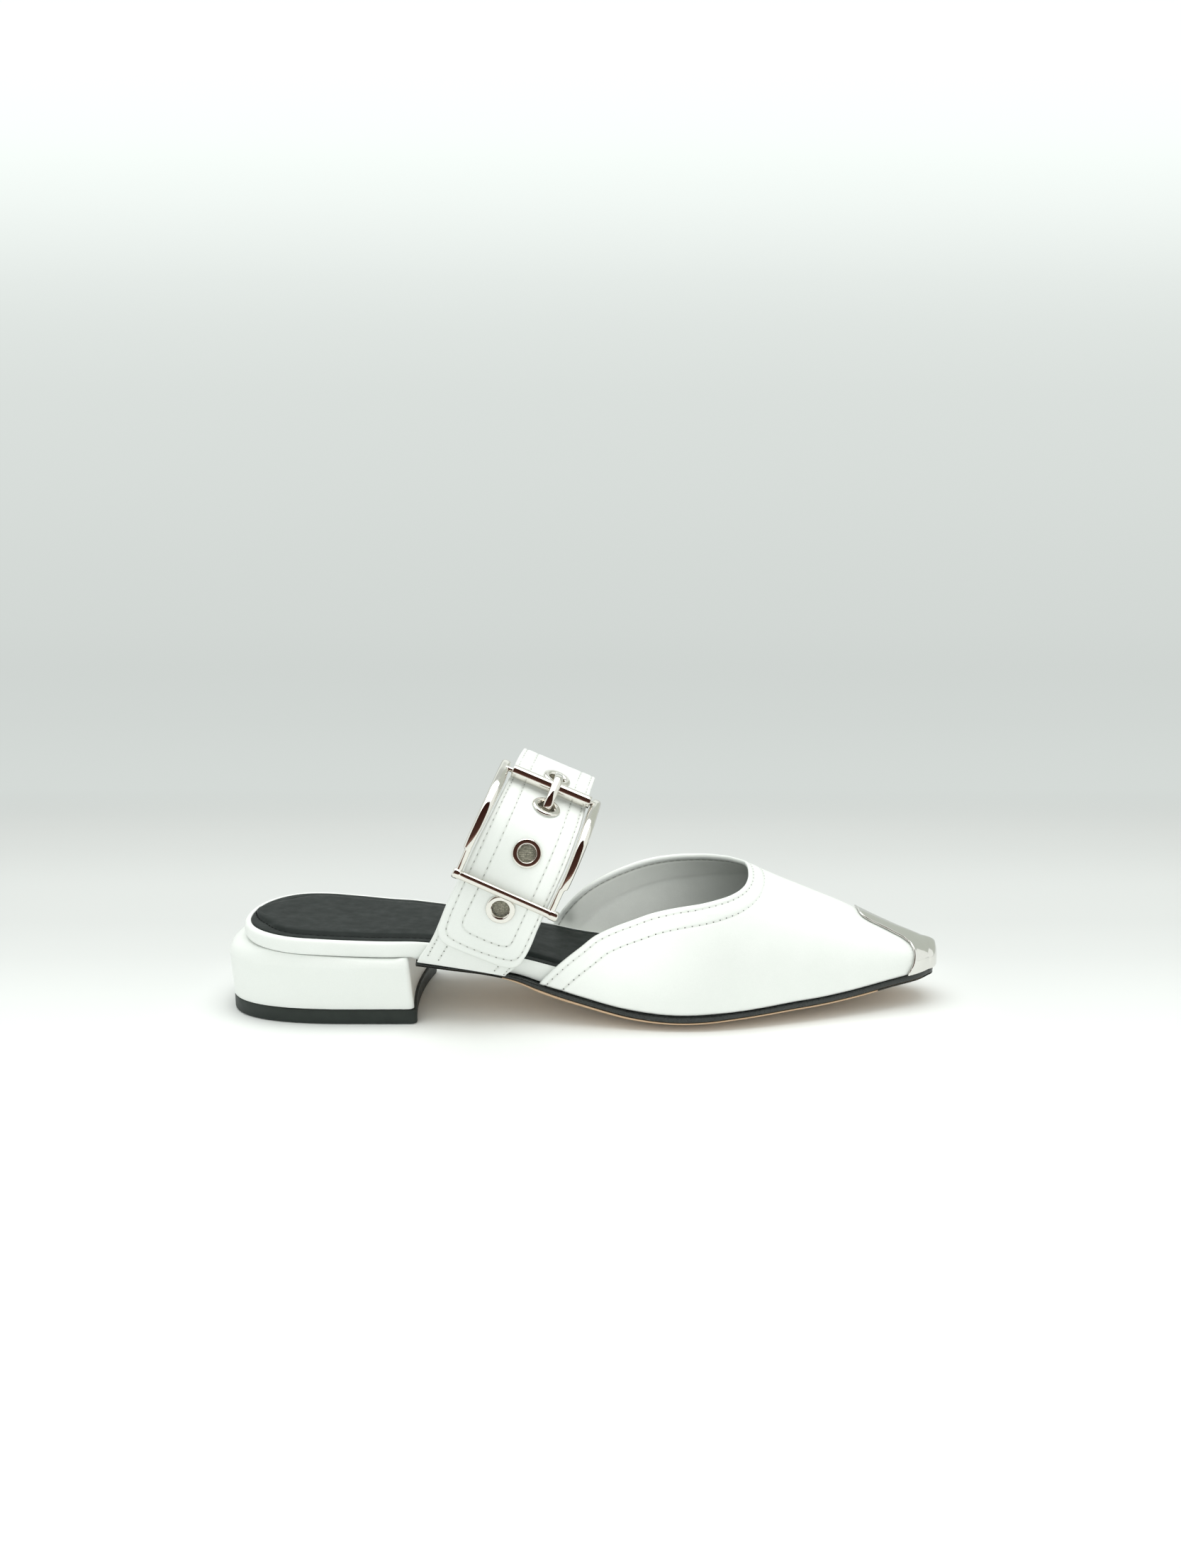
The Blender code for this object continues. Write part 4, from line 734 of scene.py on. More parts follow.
def footbed_ring(offset):
    """The insole's outline moved outward by offset(x, half width)."""
    half = (OUTLINE[1][:, 1] - OUTLINE[0][:, 1]) / 2
    return [side + normal * offset(side[:, 0], half)[:, None] for side, normal in zip(OUTLINE, NORMALS)]


def insole_z(x):
    return at(INSOLE_Z, "z", x)


def board_low(x, y):
    a, b = sole_sides(x)
    return np.where(x < 72, insole_z(x) - RIM_H, sole_face(3, x, np.clip(y, a, b)) + GAP + 0.12)


def with_z(ring, height):
    return tuple(np.column_stack([side, height(side[:, 0], side[:, 1])]) for side in ring)


def build_board():
    step = np.concatenate([[0, 0.12, 0.3], np.linspace(0.6, 5, 18), [5.3, 5.7, 6.0]])
    outs, downs = smooth(np.arange(7), RIM["out"], step), smooth(np.arange(7), RIM["down"], step)
    outs[0], outs[1] = 0.45, 0.58
    levels = []
    for part, down in zip(outs, downs):
        ring = footbed_ring(lambda x, h: part * at(OVERHANG, "out", x) - (0.02 if down >= 0.85 and part < 0.01 else 0))

        def height(x, y):
            if down <= 0.9:
                return insole_z(x) - down
            depth = insole_z(x) - board_low(x, y)
            return insole_z(x) - depth * down / RIM_H
        levels.append(with_z(ring, height))
    points, faces = stack(levels, FINE_SPREAD, board_low, lambda x, y: insole_z(x) - 0.9)
    return piece("footbed_cover", points, faces, [white], ["footbed_board"])


PAD = table("inset rise", [
    (0.30, -0.60), (0.26, -0.30), (0.28, 0.0), (0.36, 0.2), (0.52, 0.34), (0.8, 0.42), (1.3, 0.46), (2.2, 0.47),
    (3.2, 0.45), (3.7, 0.38), (4.0, 0.26), (4.2, 0.17), (4.35, 0.16), (4.5, 0.24), (4.8, 0.46), (5.2, 0.74),
    (5.6, 0.98), (6.1, 1.16), (6.8, 1.26), (7.8, 1.29), (9.3, 1.30),
])
SEAM_IN = 4.25


def pad_inset(inset, x, half):
    """How far a line of the pad lies inside its edge: wider round the back, closing up at the tip."""
    wide = 1.0 + 0.32 * np.clip((26.0 - x) / 19.0, 0, 1) ** 1.5 * np.clip((inset - 1.3) / 3.0, 0, 1)
    return np.minimum(inset * wide, 0.3 + (inset - 0.3) * half / 16)


def pad_swell(x, y):
    """Soft hollows that a foot and the hand-laid padding leave, a few tenths of a millimetre deep."""
    hollow = 0.35 * np.exp(-(((x - 36) / 20) ** 2 + (y / 15) ** 2))
    return (-hollow + 0.05 * np.sin(x / 6.1 + 0.7) * np.cos(y / 5.3) + 0.04 * np.sin(x / 3.7 - y / 4.9))


def build_insole():
    levels = []
    for inset, rise in zip(PAD["inset"], PAD["rise"]):
        ring = footbed_ring(lambda x, h: -pad_inset(inset, x, h))
        levels.append(with_z(ring, lambda x, y: insole_z(x) + rise + (0.02 * np.sin(x / 2.3) if rise > 0.3 else 0)))
    points, faces = stack(levels, np.linspace(0, 1, 25), lambda x, y: insole_z(x) - 0.6,
                          lambda x, y: insole_z(x) + 1.3 + pad_swell(x, y))
    made = piece("insole_pad", points, faces, [black_leather], ["insole"], sharp=60)
    # the black seam that holds the padding, in its groove
    parts = []
    ring = footbed_ring(lambda x, h: -pad_inset(SEAM_IN, x, h))
    loop = np.concatenate([ring[0][::-1], ring[1]])
    loop = np.column_stack([loop, insole_z(loop[:, 0]) + 0.22])
    centres, where, length = resample(loop, 2.45)
    runs = np.gradient(centres, axis=0)
    keep = centres[:, 0] < 200
    ups = np.tile([0.0, 0.0, 1.0], (len(centres), 1))
    parts.append(beads(centres[keep], runs[keep], ups[keep], 0.85, 0.25, 0.20))
    points, faces = joined(parts)
    piece("insole_seam", points, faces, [black_thread], orient=False)


# ---- heel ---------------------------------------------------------------------------------------
HEEL_FROM, HEEL_POWER = 50.0, 2.65
HEEL_ANGLES = np.linspace(2, 88, 26)
HEEL_CORNER = 1.8
HEEL_FLARE = table("x width", [(50, 32.0), (60, 31.5), (71.7, 30.4)])
SHOULDER = table("x z", [(0, 22.0), (50, 22.0), (71.7, 21.4)])
HEEL_ROWS = np.linspace(HEEL_FROM, 67.2, 10)
CORNER_EASE = 1.3
CORNER_TURNS = np.radians(np.linspace(0, 90, 8))
HEEL_FADE = np.concatenate([np.zeros(len(HEEL_ANGLES)), np.clip((HEEL_ROWS - 54) / 16, 0, 1) ** 1.5,
                            np.ones(len(CORNER_TURNS))])
BREAST_SPREAD = np.concatenate([[0, 0.008, 0.03], np.linspace(0.07, 0.93, 19), [0.97, 0.992, 1]])


def heel_outline(back, width, front, inset=0.0):
    """Two sides of a heel section: back edge, half width by x, front corners."""
    sides = []
    along, across = superellipse(np.radians(HEEL_ANGLES), HEEL_POWER)
    for side in (-1, 1):
        rear = np.stack([HEEL_FROM - (HEEL_FROM - back - inset) * along, side * (width(HEEL_FROM) - inset) * across], 1)
        run = np.stack([HEEL_ROWS, side * (width(HEEL_ROWS) - inset)], 1)
        x = front - inset - HEEL_CORNER + HEEL_CORNER * np.sin(CORNER_TURNS)
        corner = np.stack([x, side * (width(x) - inset - HEEL_CORNER + HEEL_CORNER * np.cos(CORNER_TURNS))], 1)
        sides.append(np.concatenate([rear, run, corner]))
    return sides


def heel_level(z, inset=0.0):
    flare = (z / 22.0) ** 1.6
    return heel_outline(-0.2 - 0.8 * flare,
                        lambda x: 29.1 + (at(HEEL_FLARE, "width", x) - 29.1) * flare,
                        BREAST_X - BREAST_LEAN * z / 24, inset)


def heel_top():
    """Outline of the heel block where it meets the underside of the rim."""
    ring = footbed_ring(lambda x, h: 0.4 * at(OVERHANG, "out", x))
    sides = []
    for side, base in zip((0, 1), heel_level(22.0)):
        near = ring[side][ring[side][:, 0] < 76]
        fine = resample(near, 0.01)[0]
        row = []
        for n, p in enumerate(base):
            if n < len(HEEL_ANGLES):
                row.append(fine[np.argmin(np.hypot(fine[:, 0] - p[0], fine[:, 1] - p[1]))])
            else:
                x = p[0] - (0.3 + CORNER_EASE) * HEEL_FADE[n]
                drop = abs(p[1]) / float(at(HEEL_FLARE, "width", p[0]))
                row.append((x, np.interp(x, fine[:, 0], fine[:, 1]) * min(drop, 1)))
        sides.append(np.array(row, float))
    return sides


def build_heel():
    low = TOP_PIECE_H + 0.14
    levels, bows = [], []
    for z, inset in ((low, 0.35), (low + 0.1, 0.14), (low + 0.35, 0.02), (8, 0), (11, 0), (14, 0), (17, 0),
                     (19.5, 0), (21, 0)):
        wave = 0.05 if z == low else 0.0
        levels.append(with_z(heel_level(z, inset), lambda x, y: z + wave * np.sin(x * 1.7) * np.sin(x * 0.53 + 1)))
        bows.append(-BREAST_HOLLOW)
    shoulder, top = heel_level(22.0), heel_top()
    for a in np.linspace(0, 90, 13)[0:]:
        inward, up = 1 - math.cos(math.radians(a)), math.sin(math.radians(a))
        level = []
        for one, two in zip(shoulder, top):
            mixed = one + (two - one) * inward
            z = (1 - up) * at(SHOULDER, "z", mixed[:, 0]) + up * (insole_z(mixed[:, 0]) - RIM_H - GAP)
            nub = 0.95 * gauss(mixed[:, 0], 67.2, 1.9) * gauss(np.float64(a), 52, 30) * (np.abs(mixed[:, 1]) > 20)
            level.append(np.column_stack([mixed, z + nub]))
        levels.append(tuple(level))
        bows.append(-BREAST_HOLLOW + (BREAST_HOLLOW + SOLE_HOLLOW) * (0.5 + 0.5 * up) + CORNER_EASE * inward)
    points, faces = stack(levels, BREAST_SPREAD, lambda x, y: 0 * x + low,
                          lambda x, y: insole_z(x) - RIM_H - GAP, bows=bows, fade=HEEL_FADE)
    piece("heel_wrap", points, faces, [heel_white], ["heel_block"], sharp=50)
    levels = []
    for z, inset in ((0.0, 0.55), (0.12, 0.28), (0.35, 0.1), (0.8, 0.0), (2, 0), (3.5, 0), (4.8, 0), (5.2, 0.03),
                     (5.4, 0.16)):
        levels.append(with_z(heel_outline(-0.2, lambda x: 29.1 + 0 * x, BREAST_X + 0.5, inset), lambda x, y: 0 * x + z))
    points, faces = stack(levels, BREAST_SPREAD, lambda x, y: 0 * x, lambda x, y: 0 * x + 5.4,
                          bows=[-BREAST_HOLLOW] * len(levels), fade=HEEL_FADE)
    piece("heel_lift", points, faces, [rubber], ["heel_top_piece"], sharp=50)


# ---- vamp and toe plate -------------------------------------------------------------------------
def last_surface(x, side, out=0.0):
    """Points of the vamp's surface, moved outward by out; x beyond the toe's start is scaled to it."""
    x, side, out = np.broadcast_arrays(np.asarray(x, float), np.asarray(side, float), np.asarray(out, float))
    tip = TOE_X + out
    x = np.where(x > TOE_FROM, TOE_FROM + (x - TOE_FROM) * (tip - TOE_FROM) / (TOE_X - TOE_FROM), x)
    turn = (1 - np.abs(side)) * math.pi / 2
    ridge_y = at(LAST, "ridge_y", x)
    left = side < 0
    edge = np.where(left, at(LAST, "lateral", x), at(LAST, "medial", x))
    edge = edge + np.where(edge > 0, out, -out)
    full = np.where(left, at(LAST, "full_lat", x), at(LAST, "full_med", x))
    s = np.clip((x - TOE_FROM) / (tip - TOE_FROM), 0, 1)
    shut = (1 - s ** TOE_POWER) ** (1 / TOE_POWER)
    y = ridge_y + (edge - ridge_y) * np.cos(turn) ** at(LAST, "lean", x) * shut
    y = y + np.where(left, -1, 1) * at(LAST, "bulge", x) * np.sin(2 * turn) * shut
    top = at(LAST, "ridge_z", x) + out - TOE_DROP * (1 - (1 - s ** TOE_DROP_POWER) ** (1 / TOE_DROP_POWER))
    low = at(LAST, "feather", x)
    return np.stack([x, y, low + (top - low) * np.sin(turn) ** full], -1)


TIP_LIMIT = 87.0
Q_END = 7.0 * math.radians(TIP_LIMIT)


def travel(x):
    s = np.clip((np.asarray(x, float) - TOE_FROM) / (TOE_X - TOE_FROM), 0, 1)
    return np.where(x <= TOE_FROM, x - TOE_FROM, 7.0 * np.arcsin(s ** (TOE_POWER / 2)))


def from_travel(q):
    q = np.asarray(q, float)
    return np.where(q <= 0, TOE_FROM + q,
                    TOE_FROM + (TOE_X - TOE_FROM) * np.sin(np.clip(q, 0, None) / 7.0) ** (2 / TOE_POWER))


def last_normal(x, side, out=0.0):
    h = 0.004
    step = np.where(np.abs(side) > 1 - 2 * h, -np.sign(side) * h, h)
    a = last_surface(x + 0.05, side, out) - last_surface(x - 0.05, side, out)
    b = (last_surface(x, side + step, out) - last_surface(x, side, out)) * np.sign(step)[..., None]
    n = unit(np.cross(a, b))
    return n


def distance_to(points, line):
    tree = KDTree(len(line))
    for k, p in enumerate(line):
        tree.insert(Vector(p), k)
    tree.balance()
    flat = points.reshape(-1, 3)
    return np.array([tree.find(Vector(p))[2] for p in flat]).reshape(points.shape[:-1])


def topline_x(side):
    return at(TOPLINE, "x", side)


def plate_x(side):
    return at(PLATE_EDGE, "x", np.abs(side))


def edge_round(d, h):
    """How far a rounded edge falls away at distance d from it, for a layer of half thickness h."""
    e = np.clip(1 - d / h, 0, 1)
    return h * (1 - np.sqrt(1 - e**2))


def shell_faces(rows, cols, start_over, start_under):
    """Faces of a hollow shell over the last: two sheets joined at the rear edge, the bottom and the tip."""
    faces = quads(rows, cols, start_over) + quads(rows, cols, start_under, flip=True)
    over = start_over + np.arange(rows * cols).reshape(rows, cols)
    under = start_under + np.arange(rows * cols).reshape(rows, cols)
    sheets = len(faces)
    middle = cols // 2
    ends = []
    for grid in (over, under):
        end = grid[-1]
        ends.append((end[middle], end[middle - 1], end[middle + 1]))
        for m in range(1, middle):
            ends.append((end[middle - m], end[middle - m - 1], end[middle + m + 1], end[middle + m]))
    for m in range(cols - 1):
        ends.append((over[0][m], over[0][m + 1], under[0][m + 1], under[0][m]))
    for m in (0, cols - 1):
        for r in range(rows - 1):
            ends.append((over[r][m], over[r + 1][m], under[r + 1][m], under[r][m]))
    ends.append((over[-1][0], over[-1][-1], under[-1][-1], under[-1][0]))
    return faces + [tuple(int(i) for i in f) for f in ends], sheets


VAMP_HALF = np.concatenate([np.linspace(0, 0.96, 81), [0.97, 0.978, 0.985, 0.991, 0.996, 1.0]])
VAMP_SIDES = np.concatenate([-VAMP_HALF[:0:-1], VAMP_HALF])
ROW_NEAR, ROW_FAR, LINING_ROW = 2.2, 7.6, 2.1


def row_far(side):
    """The second row of stitches comes a little nearer to the first over the ridge."""
    return ROW_FAR - 0.9 * np.clip((np.asarray(side) + 0.62) / 0.3, 0, 1)


def build_upper():
    start = travel(topline_x(VAMP_SIDES))
    near = np.concatenate([[0, 0.02, 0.07, 0.15, 0.26, 0.4, 0.58, 0.8, 1.05, 1.35, 1.7], np.arange(2.1, 26.0, 0.42)])
    q_near = start[None] + near[:, None]
    f = np.linspace(0, 1, 74)[1:]
    first = start + near[-1]
    q_far = first[None] + (Q_END - first)[None] * f[:, None]
    q = np.concatenate([q_near, q_far])
    x, side = from_travel(q), np.broadcast_to(VAMP_SIDES, q.shape)
    base = last_surface(x, side)
    dense = np.linspace(-1, 1, 5201)
    line = last_surface(topline_x(dense), dense)
    d = np.full(q.shape, 60.0)
    count = len(near) + 6
    d[:count] = distance_to(base[:count], line)
    d[0] = 0.0
    height = base[..., 2] - at(LAST, "feather", x)
    swell = (0.10 * np.sin(x / 11.0 + 3 * side) * np.sin(x / 7.3 - 5 * side + 1)
             + 0.05 * np.sin(x / 4.1 + 9 * side) * np.cos(x / 5.7 - 14 * side)) * np.clip(d / 14, 0, 1)
    pucker = 0.05 * np.sin(line_length(x, side) * 2 * math.pi / 2.67) * (gauss(d, 1.6, 1.1) + 0.6 * gauss(d, 5, 2.0))
    outer = (-edge_round(d, WALL / 2) - 0.24 * gauss(d, ROW_NEAR, 0.5) - 0.22 * gauss(d, row_far(side), 0.55)
             + 0.14 * gauss(d, 5.0, 1.8) + 0.08 * gauss(d, 1.7, 0.9) + pucker + swell
             - 0.5 * np.clip(1 - height / 1.2, 0, 1) ** 2 - 0.10 * gauss(plate_gap(x, side), 0.4, 0.8))
    wrinkle = 0.02 * np.sin(line_length(x, side) * 2 * math.pi / 1.9 + 2 * np.sin(d)) * gauss(d, 5.0, 2.4)
    inner = (-WALL + edge_round(d, WALL / 2) + 0.20 * gauss(d, LINING_ROW, 0.5) - 0.22 / (1 + np.exp(2.2 * (d - 10.6)))
             + wrinkle)
    over = last_surface(x, side, outer)
    under = last_surface(x, side, inner)
    rows, cols = q.shape
    faces, sheets = shell_faces(rows, cols, 0, rows * cols)
    points = np.concatenate([over.reshape(-1, 3), under.reshape(-1, 3)])
    per_sheet = (rows - 1) * (cols - 1)
    d_face = d[:-1, :-1].reshape(-1)
    looks = np.zeros(len(faces), int)
    looks[per_sheet:sheets] = np.where(d_face > LINING_ROW - 0.35, 1, 0)
    # Painted shade in the colour: darker along the rows of stitches, at the vamp's foot by the sole, by the toe plate's
    # edge and over the lining's top band; the thin dark lines along the edges are wear.
    wear_and_painted_shade = np.concatenate([(0.8 * gauss(d, ROW_NEAR, 0.35) + 0.7 * gauss(d, row_far(side), 0.35)
                            + 0.9 * gauss(d, 0.0, 0.13) * (side < -0.2) + 0.5 * np.clip(1 - height / 0.8, 0, 1) + 0.35 * gauss(plate_gap(x, side), 0, 0.7)).reshape(-1),
                           (0.9 * gauss(d, LINING_ROW, 0.4) + 0.9 * gauss(d, 0.3, 0.22) * (side < 0) + 0.30 / (1 + np.exp(1.6 * (d - 10.4)))).reshape(-1)])
    piece("vamp_leather", points, faces, [white, lining], ["upper"], face_looks=looks, wear_and_painted_shade=wear_and_painted_shade,
          weld=True, sharp=60)
    build_vamp_stitches(x[:count], side[:count], d[:count])


def plate_gap(x, side):
    return np.abs(np.asarray(x) - plate_x(side)) * 0.8


_length_side = np.linspace(-1, 1, 1201)
_length_line = last_surface(topline_x(_length_side), _length_side)
_length = np.concatenate([[0], np.cumsum(np.linalg.norm(np.diff(_length_line, axis=0), axis=1))])


def line_length(x, side):
    """A running length round the topline, for small ripples that cross it."""
    return np.interp(side, _length_side, _length) + 0.35 * (np.asarray(x) - topline_x(side))


def on_row(x, side, d, wanted):
    """The line of (x, side) at a distance from the topline."""
    found = []
    for c in range(x.shape[1]):
        column = d[:, c]
        here = float(wanted(side[0, c])) if callable(wanted) else wanted
        if column[-1] < here:
            continue
        found.append((np.interp(here, np.maximum.accumulate(column), x[:, c]), side[0, c]))
    return np.array(found)


def build_vamp_stitches(x, side, d):
    threads, holes, inner_threads, inner_holes = [], [], [], []
    for wanted, drop in ((ROW_NEAR, -0.17), (row_far, -0.16)):
        row = on_row(x, side, d, wanted)
        spots = last_surface(row[:, 0], row[:, 1], 0.0)
        _, where, length = resample(spots, 2.67, 1.2, 1.2)
        xs, ss = np.interp(where, length, row[:, 0]), np.interp(where, length, row[:, 1])
        middle = (where[1:] + where[:-1]) / 2
        xm, sm = np.interp(middle, length, row[:, 0]), np.interp(middle, length, row[:, 1])
        at_holes = last_surface(xs, ss, drop - 0.02)
        at_threads = last_surface(xm, sm, drop - 0.02)
        runs = at_holes[1:] - at_holes[:-1]
        holes.append(beads(at_holes, np.gradient(at_holes, axis=0), last_normal(xs, ss), 0.30, 0.24, 0.10))
        threads.append(beads(at_threads, runs, last_normal(xm, sm), 1.02, 0.2, 0.15, power=0.6))
    row = on_row(x, side, d, LINING_ROW)
    spots = last_surface(row[:, 0], row[:, 1], -WALL)
    _, where, length = resample(spots, 2.67, 1.0, 1.0)
    middle = (where[1:] + where[:-1]) / 2
    xs, ss = np.interp(where, length, row[:, 0]), np.interp(where, length, row[:, 1])
    xm, sm = np.interp(middle, length, row[:, 0]), np.interp(middle, length, row[:, 1])
    at_holes = last_surface(xs, ss, -WALL + 0.12)
    at_threads = last_surface(xm, sm, -WALL + 0.08)
    inner_holes.append(beads(at_holes, np.gradient(at_holes, axis=0), last_normal(xs, ss), 0.50, 0.46, 0.14))
    inner_threads.append(beads(at_threads, at_holes[1:] - at_holes[:-1], last_normal(xm, sm), 1.05, 0.3, 0.26, power=0.6))
    for name, parts, look in (("vamp_stitches", threads, thread), ("vamp_needle_holes", holes, needle_hole_shade),
                              ("lining_stitches", inner_threads, lining_thread_painted_shade),
                              ("lining_needle_holes", inner_holes, needle_hole_shade)):
        points, faces = joined(parts)
        piece(name, points, faces, [look], orient=False)


def build_plate():
    half = np.concatenate([np.linspace(0, 0.97, 61), [0.98, 0.988, 0.994, 1.0]])
    sides = np.concatenate([-half[:0:-1], half])
    start = travel(plate_x(sides))
    f = np.concatenate([[0, 0.0012, 0.004, 0.009, 0.016, 0.026, 0.04], np.linspace(0.06, 1, 44)])
    q = start[None] + (Q_END - start)[None] * f[:, None]
    x, side = from_travel(q), np.broadcast_to(sides, q.shape)
    base = last_surface(x, side)
    dense = np.linspace(-1, 1, 3001)
    line = last_surface(plate_x(dense), dense)
    d = distance_to(base, line)
    d[0] = 0.0
    height = base[..., 2] - at(LAST, "feather", x)
    mid, half_t = (PLATE_HIGH + PLATE_LOW - 0.3) / 2, (PLATE_HIGH - PLATE_LOW + 0.3) / 2
    rise = half_t - edge_round(d, half_t)
    bottom = np.clip(1 - height / 0.5, 0, 1) ** 2
    outer = mid + rise - 0.25 * bottom + 0.10 * gauss(d, 0.55, 0.3)
    inner = np.maximum(mid - rise, PLATE_LOW - 0.3)
    rows, cols = q.shape
    faces, _ = shell_faces(rows, cols, 0, rows * cols)
    points = np.concatenate([last_surface(x, side, outer).reshape(-1, 3), last_surface(x, side, inner).reshape(-1, 3)])
    piece("toe_plate", points, faces, [nickel_plate], ["toe_cap"], weld=True, sharp=60)


# ---- strap --------------------------------------------------------------------------------------
PATH_S = np.concatenate([[0], np.cumsum(np.hypot(np.diff(PATH["y"]), np.diff(PATH["climb"])))])
PATH_S = PATH_S - PATH_S[1]
STRAP_LENGTH = float(PATH_S[-2])
ALONG = np.array([math.sin(STRAP_LEAN), 0.0, math.cos(STRAP_LEAN)])
ACROSS = np.array([math.cos(STRAP_SLOPE), 0.0, -math.sin(STRAP_SLOPE)])
FOOT_FADE = 14.0
_s_dense = np.linspace(PATH_S[0], PATH_S[-1], 4001)
_path = np.stack([smooth(PATH_S, PATH["y"], _s_dense), smooth(PATH_S, PATH["climb"], _s_dense)], 1)
_run = unit(np.stack([np.gradient(_path[:, 0]), np.gradient(_path[:, 1])], 1))
_kernel = np.hanning(25) / np.hanning(25).sum()
_run = unit(np.stack([np.convolve(np.pad(_run[:, k], 12, mode="edge"), _kernel, mode="valid") for k in (0, 1)], 1))


def strap_surface(s, w, t=0.0):
    """Points at s along the strap from its outer foot, w across it toward the toe, t out from its face."""
    s, w, t = np.broadcast_arrays(np.asarray(s, float), np.asarray(w, float), np.asarray(t, float))
    y0, c0 = np.interp(s, _s_dense, _path[:, 0]), np.interp(s, _s_dense, _path[:, 1])
    ry, rc = np.interp(s, _s_dense, _run[:, 0]), np.interp(s, _s_dense, _run[:, 1])
    y, climb = y0 - t * rc, c0 + t * ry
    w = w + INNER_LEG_SHIFT * smooth((100, 108, 116), (0, 0.5, 1), s)
    p = (np.array([STRAP_X, 0.0, STRAP_Z]) + ALONG * climb[..., None] + ACROSS * w[..., None])
    fade = np.clip(1 - c0 / FOOT_FADE, 0, 1.2) ** 2
    a, b = sole_sides(np.maximum(p[..., 0], SOLE_START))
    shift = np.where(s < STRAP_LENGTH / 2, a + 30.2, b - 29.8)
    p[..., 1] = y + shift * fade
    return p


def strap_dirs(s, w, t=0.0):
    """Unit directions on the strap: along it, across it and out of it."""
    run = strap_surface(np.asarray(s) + 0.15, w, t) - strap_surface(np.asarray(s) - 0.15, w, t)
    across = strap_surface(s, np.asarray(w) + 0.15, t) - strap_surface(s, np.asarray(w) - 0.15, t)
    out = unit(np.cross(run, across))
    probe = strap_surface(s, w, np.asarray(t) + 0.5) - strap_surface(s, w, t)
    out = out * np.sign((out * probe).sum(-1, keepdims=True))
    run = unit(run)
    return run, unit(np.cross(run, out)), out


def strap_frame(s, w, t=0.0):
    run, across, out = strap_dirs(s, w, t)
    return strap_surface(s, w, t), run, across, out


def near_end(s):
    return np.minimum(s, STRAP_LENGTH - np.asarray(s))


def plane_distance(s, w, lines):
    """Distance in the strap's own plane from points to the nearest of some lines of (s, w)."""
    pts = []
    for line in lines:
        pts.append(resample(line, 0.06)[0])
    pts = np.concatenate(pts)
    tree = KDTree(len(pts))
    for k, p in enumerate(pts):
        tree.insert(Vector((p[0], p[1], 0)), k)
    tree.balance()
    flat = np.stack([s.reshape(-1), w.reshape(-1)], 1)
    return np.array([tree.find(Vector((p[0], p[1], 0)))[2] for p in flat]).reshape(s.shape)


# Seams of the strap's top layer, by distance from its foot, on the outer leg.
OUTER_SEAM = table("s w", [
    (98, -12.8), (84, -12.9), (76, -13.15), (66, -13.45), (57, -13.6), (48, -13.7), (31, -13.8), (20, -13.7), (14.4, -13.2),
    (12.6, -12.5), (11.5, -11.2), (10.9, -8.6), (10.5, -3.3), (10.6, 2.3), (11.0, 7.8), (11.9, 12.4), (13.1, 14.0), (15.6, 14.8),
    (20, 14.9), (31, 14.8), (46, 14.7), (54, 14.45), (62, 14.25), (76, 14.2), (84, 14.15), (98, 14.1),
])
INNER_SEAM = table("s w", [
    (98, -8.2), (84, -8.35), (60, -8.55), (31, -8.7), (20, -8.9), (17.8, -8.5), (16.4, -7.2), (15.8, -5), (15.5, 0.6), (15.6, 6.1),
    (16.1, 8.6), (17.3, 9.9), (19.5, 10.1), (31, 10.0), (60, 9.85), (84, 9.75), (98, 9.7),
])
BASE_SEAMS = [
    [(9.4, -14.3), (0.6, -14.9)], [(8.6, -9.9), (0.4, -10.8)], [(8.9, 9.8), (4.6, 9.0)], [(9.4, 13.7), (4.6, 12.6)],
]


def soft_line(tab):
    """A seam with its corners eased."""
    raw = np.stack([tab["s"], tab["w"]], 1)
    pts = resample(raw, 0.4)[0]
    for _ in range(6):
        pts[1:-1] = (pts[:-2] + 2 * pts[1:-1] + pts[2:]) / 4
    return pts


def both_legs(line):
    """A line on the outer leg carried over the crest and down the inner leg."""
    line = np.asarray(line, float)
    other = line.copy()
    other[:, 0] = STRAP_LENGTH - other[:, 0]
    return [line, other]


SEAM_LINES = both_legs(soft_line(OUTER_SEAM)) + both_legs(soft_line(INNER_SEAM))
STITCH_ON_TOP = 2.72


def seam_stitches(lines, depth, slot_long, slot_wide, pitch):
    threads, slots = [], []
    for line in lines:
        pts, where, length = resample(line, pitch)
        centre = (pts[1:] + pts[:-1]) / 2
        runs = strap_surface(pts[1:, 0], pts[1:, 1]) - strap_surface(pts[:-1, 0], pts[:-1, 1])
        _, _, out = strap_dirs(centre[:, 0], centre[:, 1])
        threads.append(beads(strap_surface(centre[:, 0], centre[:, 1], depth), runs, out, (pitch - slot_long) / 2 + 0.22, 0.19,
                             0.13, power=0.6))
        runs = np.gradient(strap_surface(pts[:, 0], pts[:, 1]), axis=0)
        _, _, out = strap_dirs(pts[:, 0], pts[:, 1])
        step = np.gradient(pts, axis=0)
        lengthwise = np.abs(step[:, 0]) > 1.1 * np.abs(step[:, 1])
        high = near_end(pts[:, 0]) > 36
        where_now = strap_surface(pts[:, 0], pts[:, 1], depth)
        # The slot beads are dark: painted shade in the stitch slits and needle holes.
        for chosen, a, b in ((lengthwise & ~high, slot_long / 2, slot_wide / 2),
                             (lengthwise & high, slot_long * 0.46, slot_wide * 0.4), (~lengthwise, 0.34, 0.25)):
            if slot_long < 0.8:
                chosen, a, b = chosen, slot_long / 2, slot_wide / 2
            if chosen.any():
                slots.append(beads(where_now[chosen], runs[chosen], out[chosen], a, b, 0.085, power=0.7))
    return threads, slots


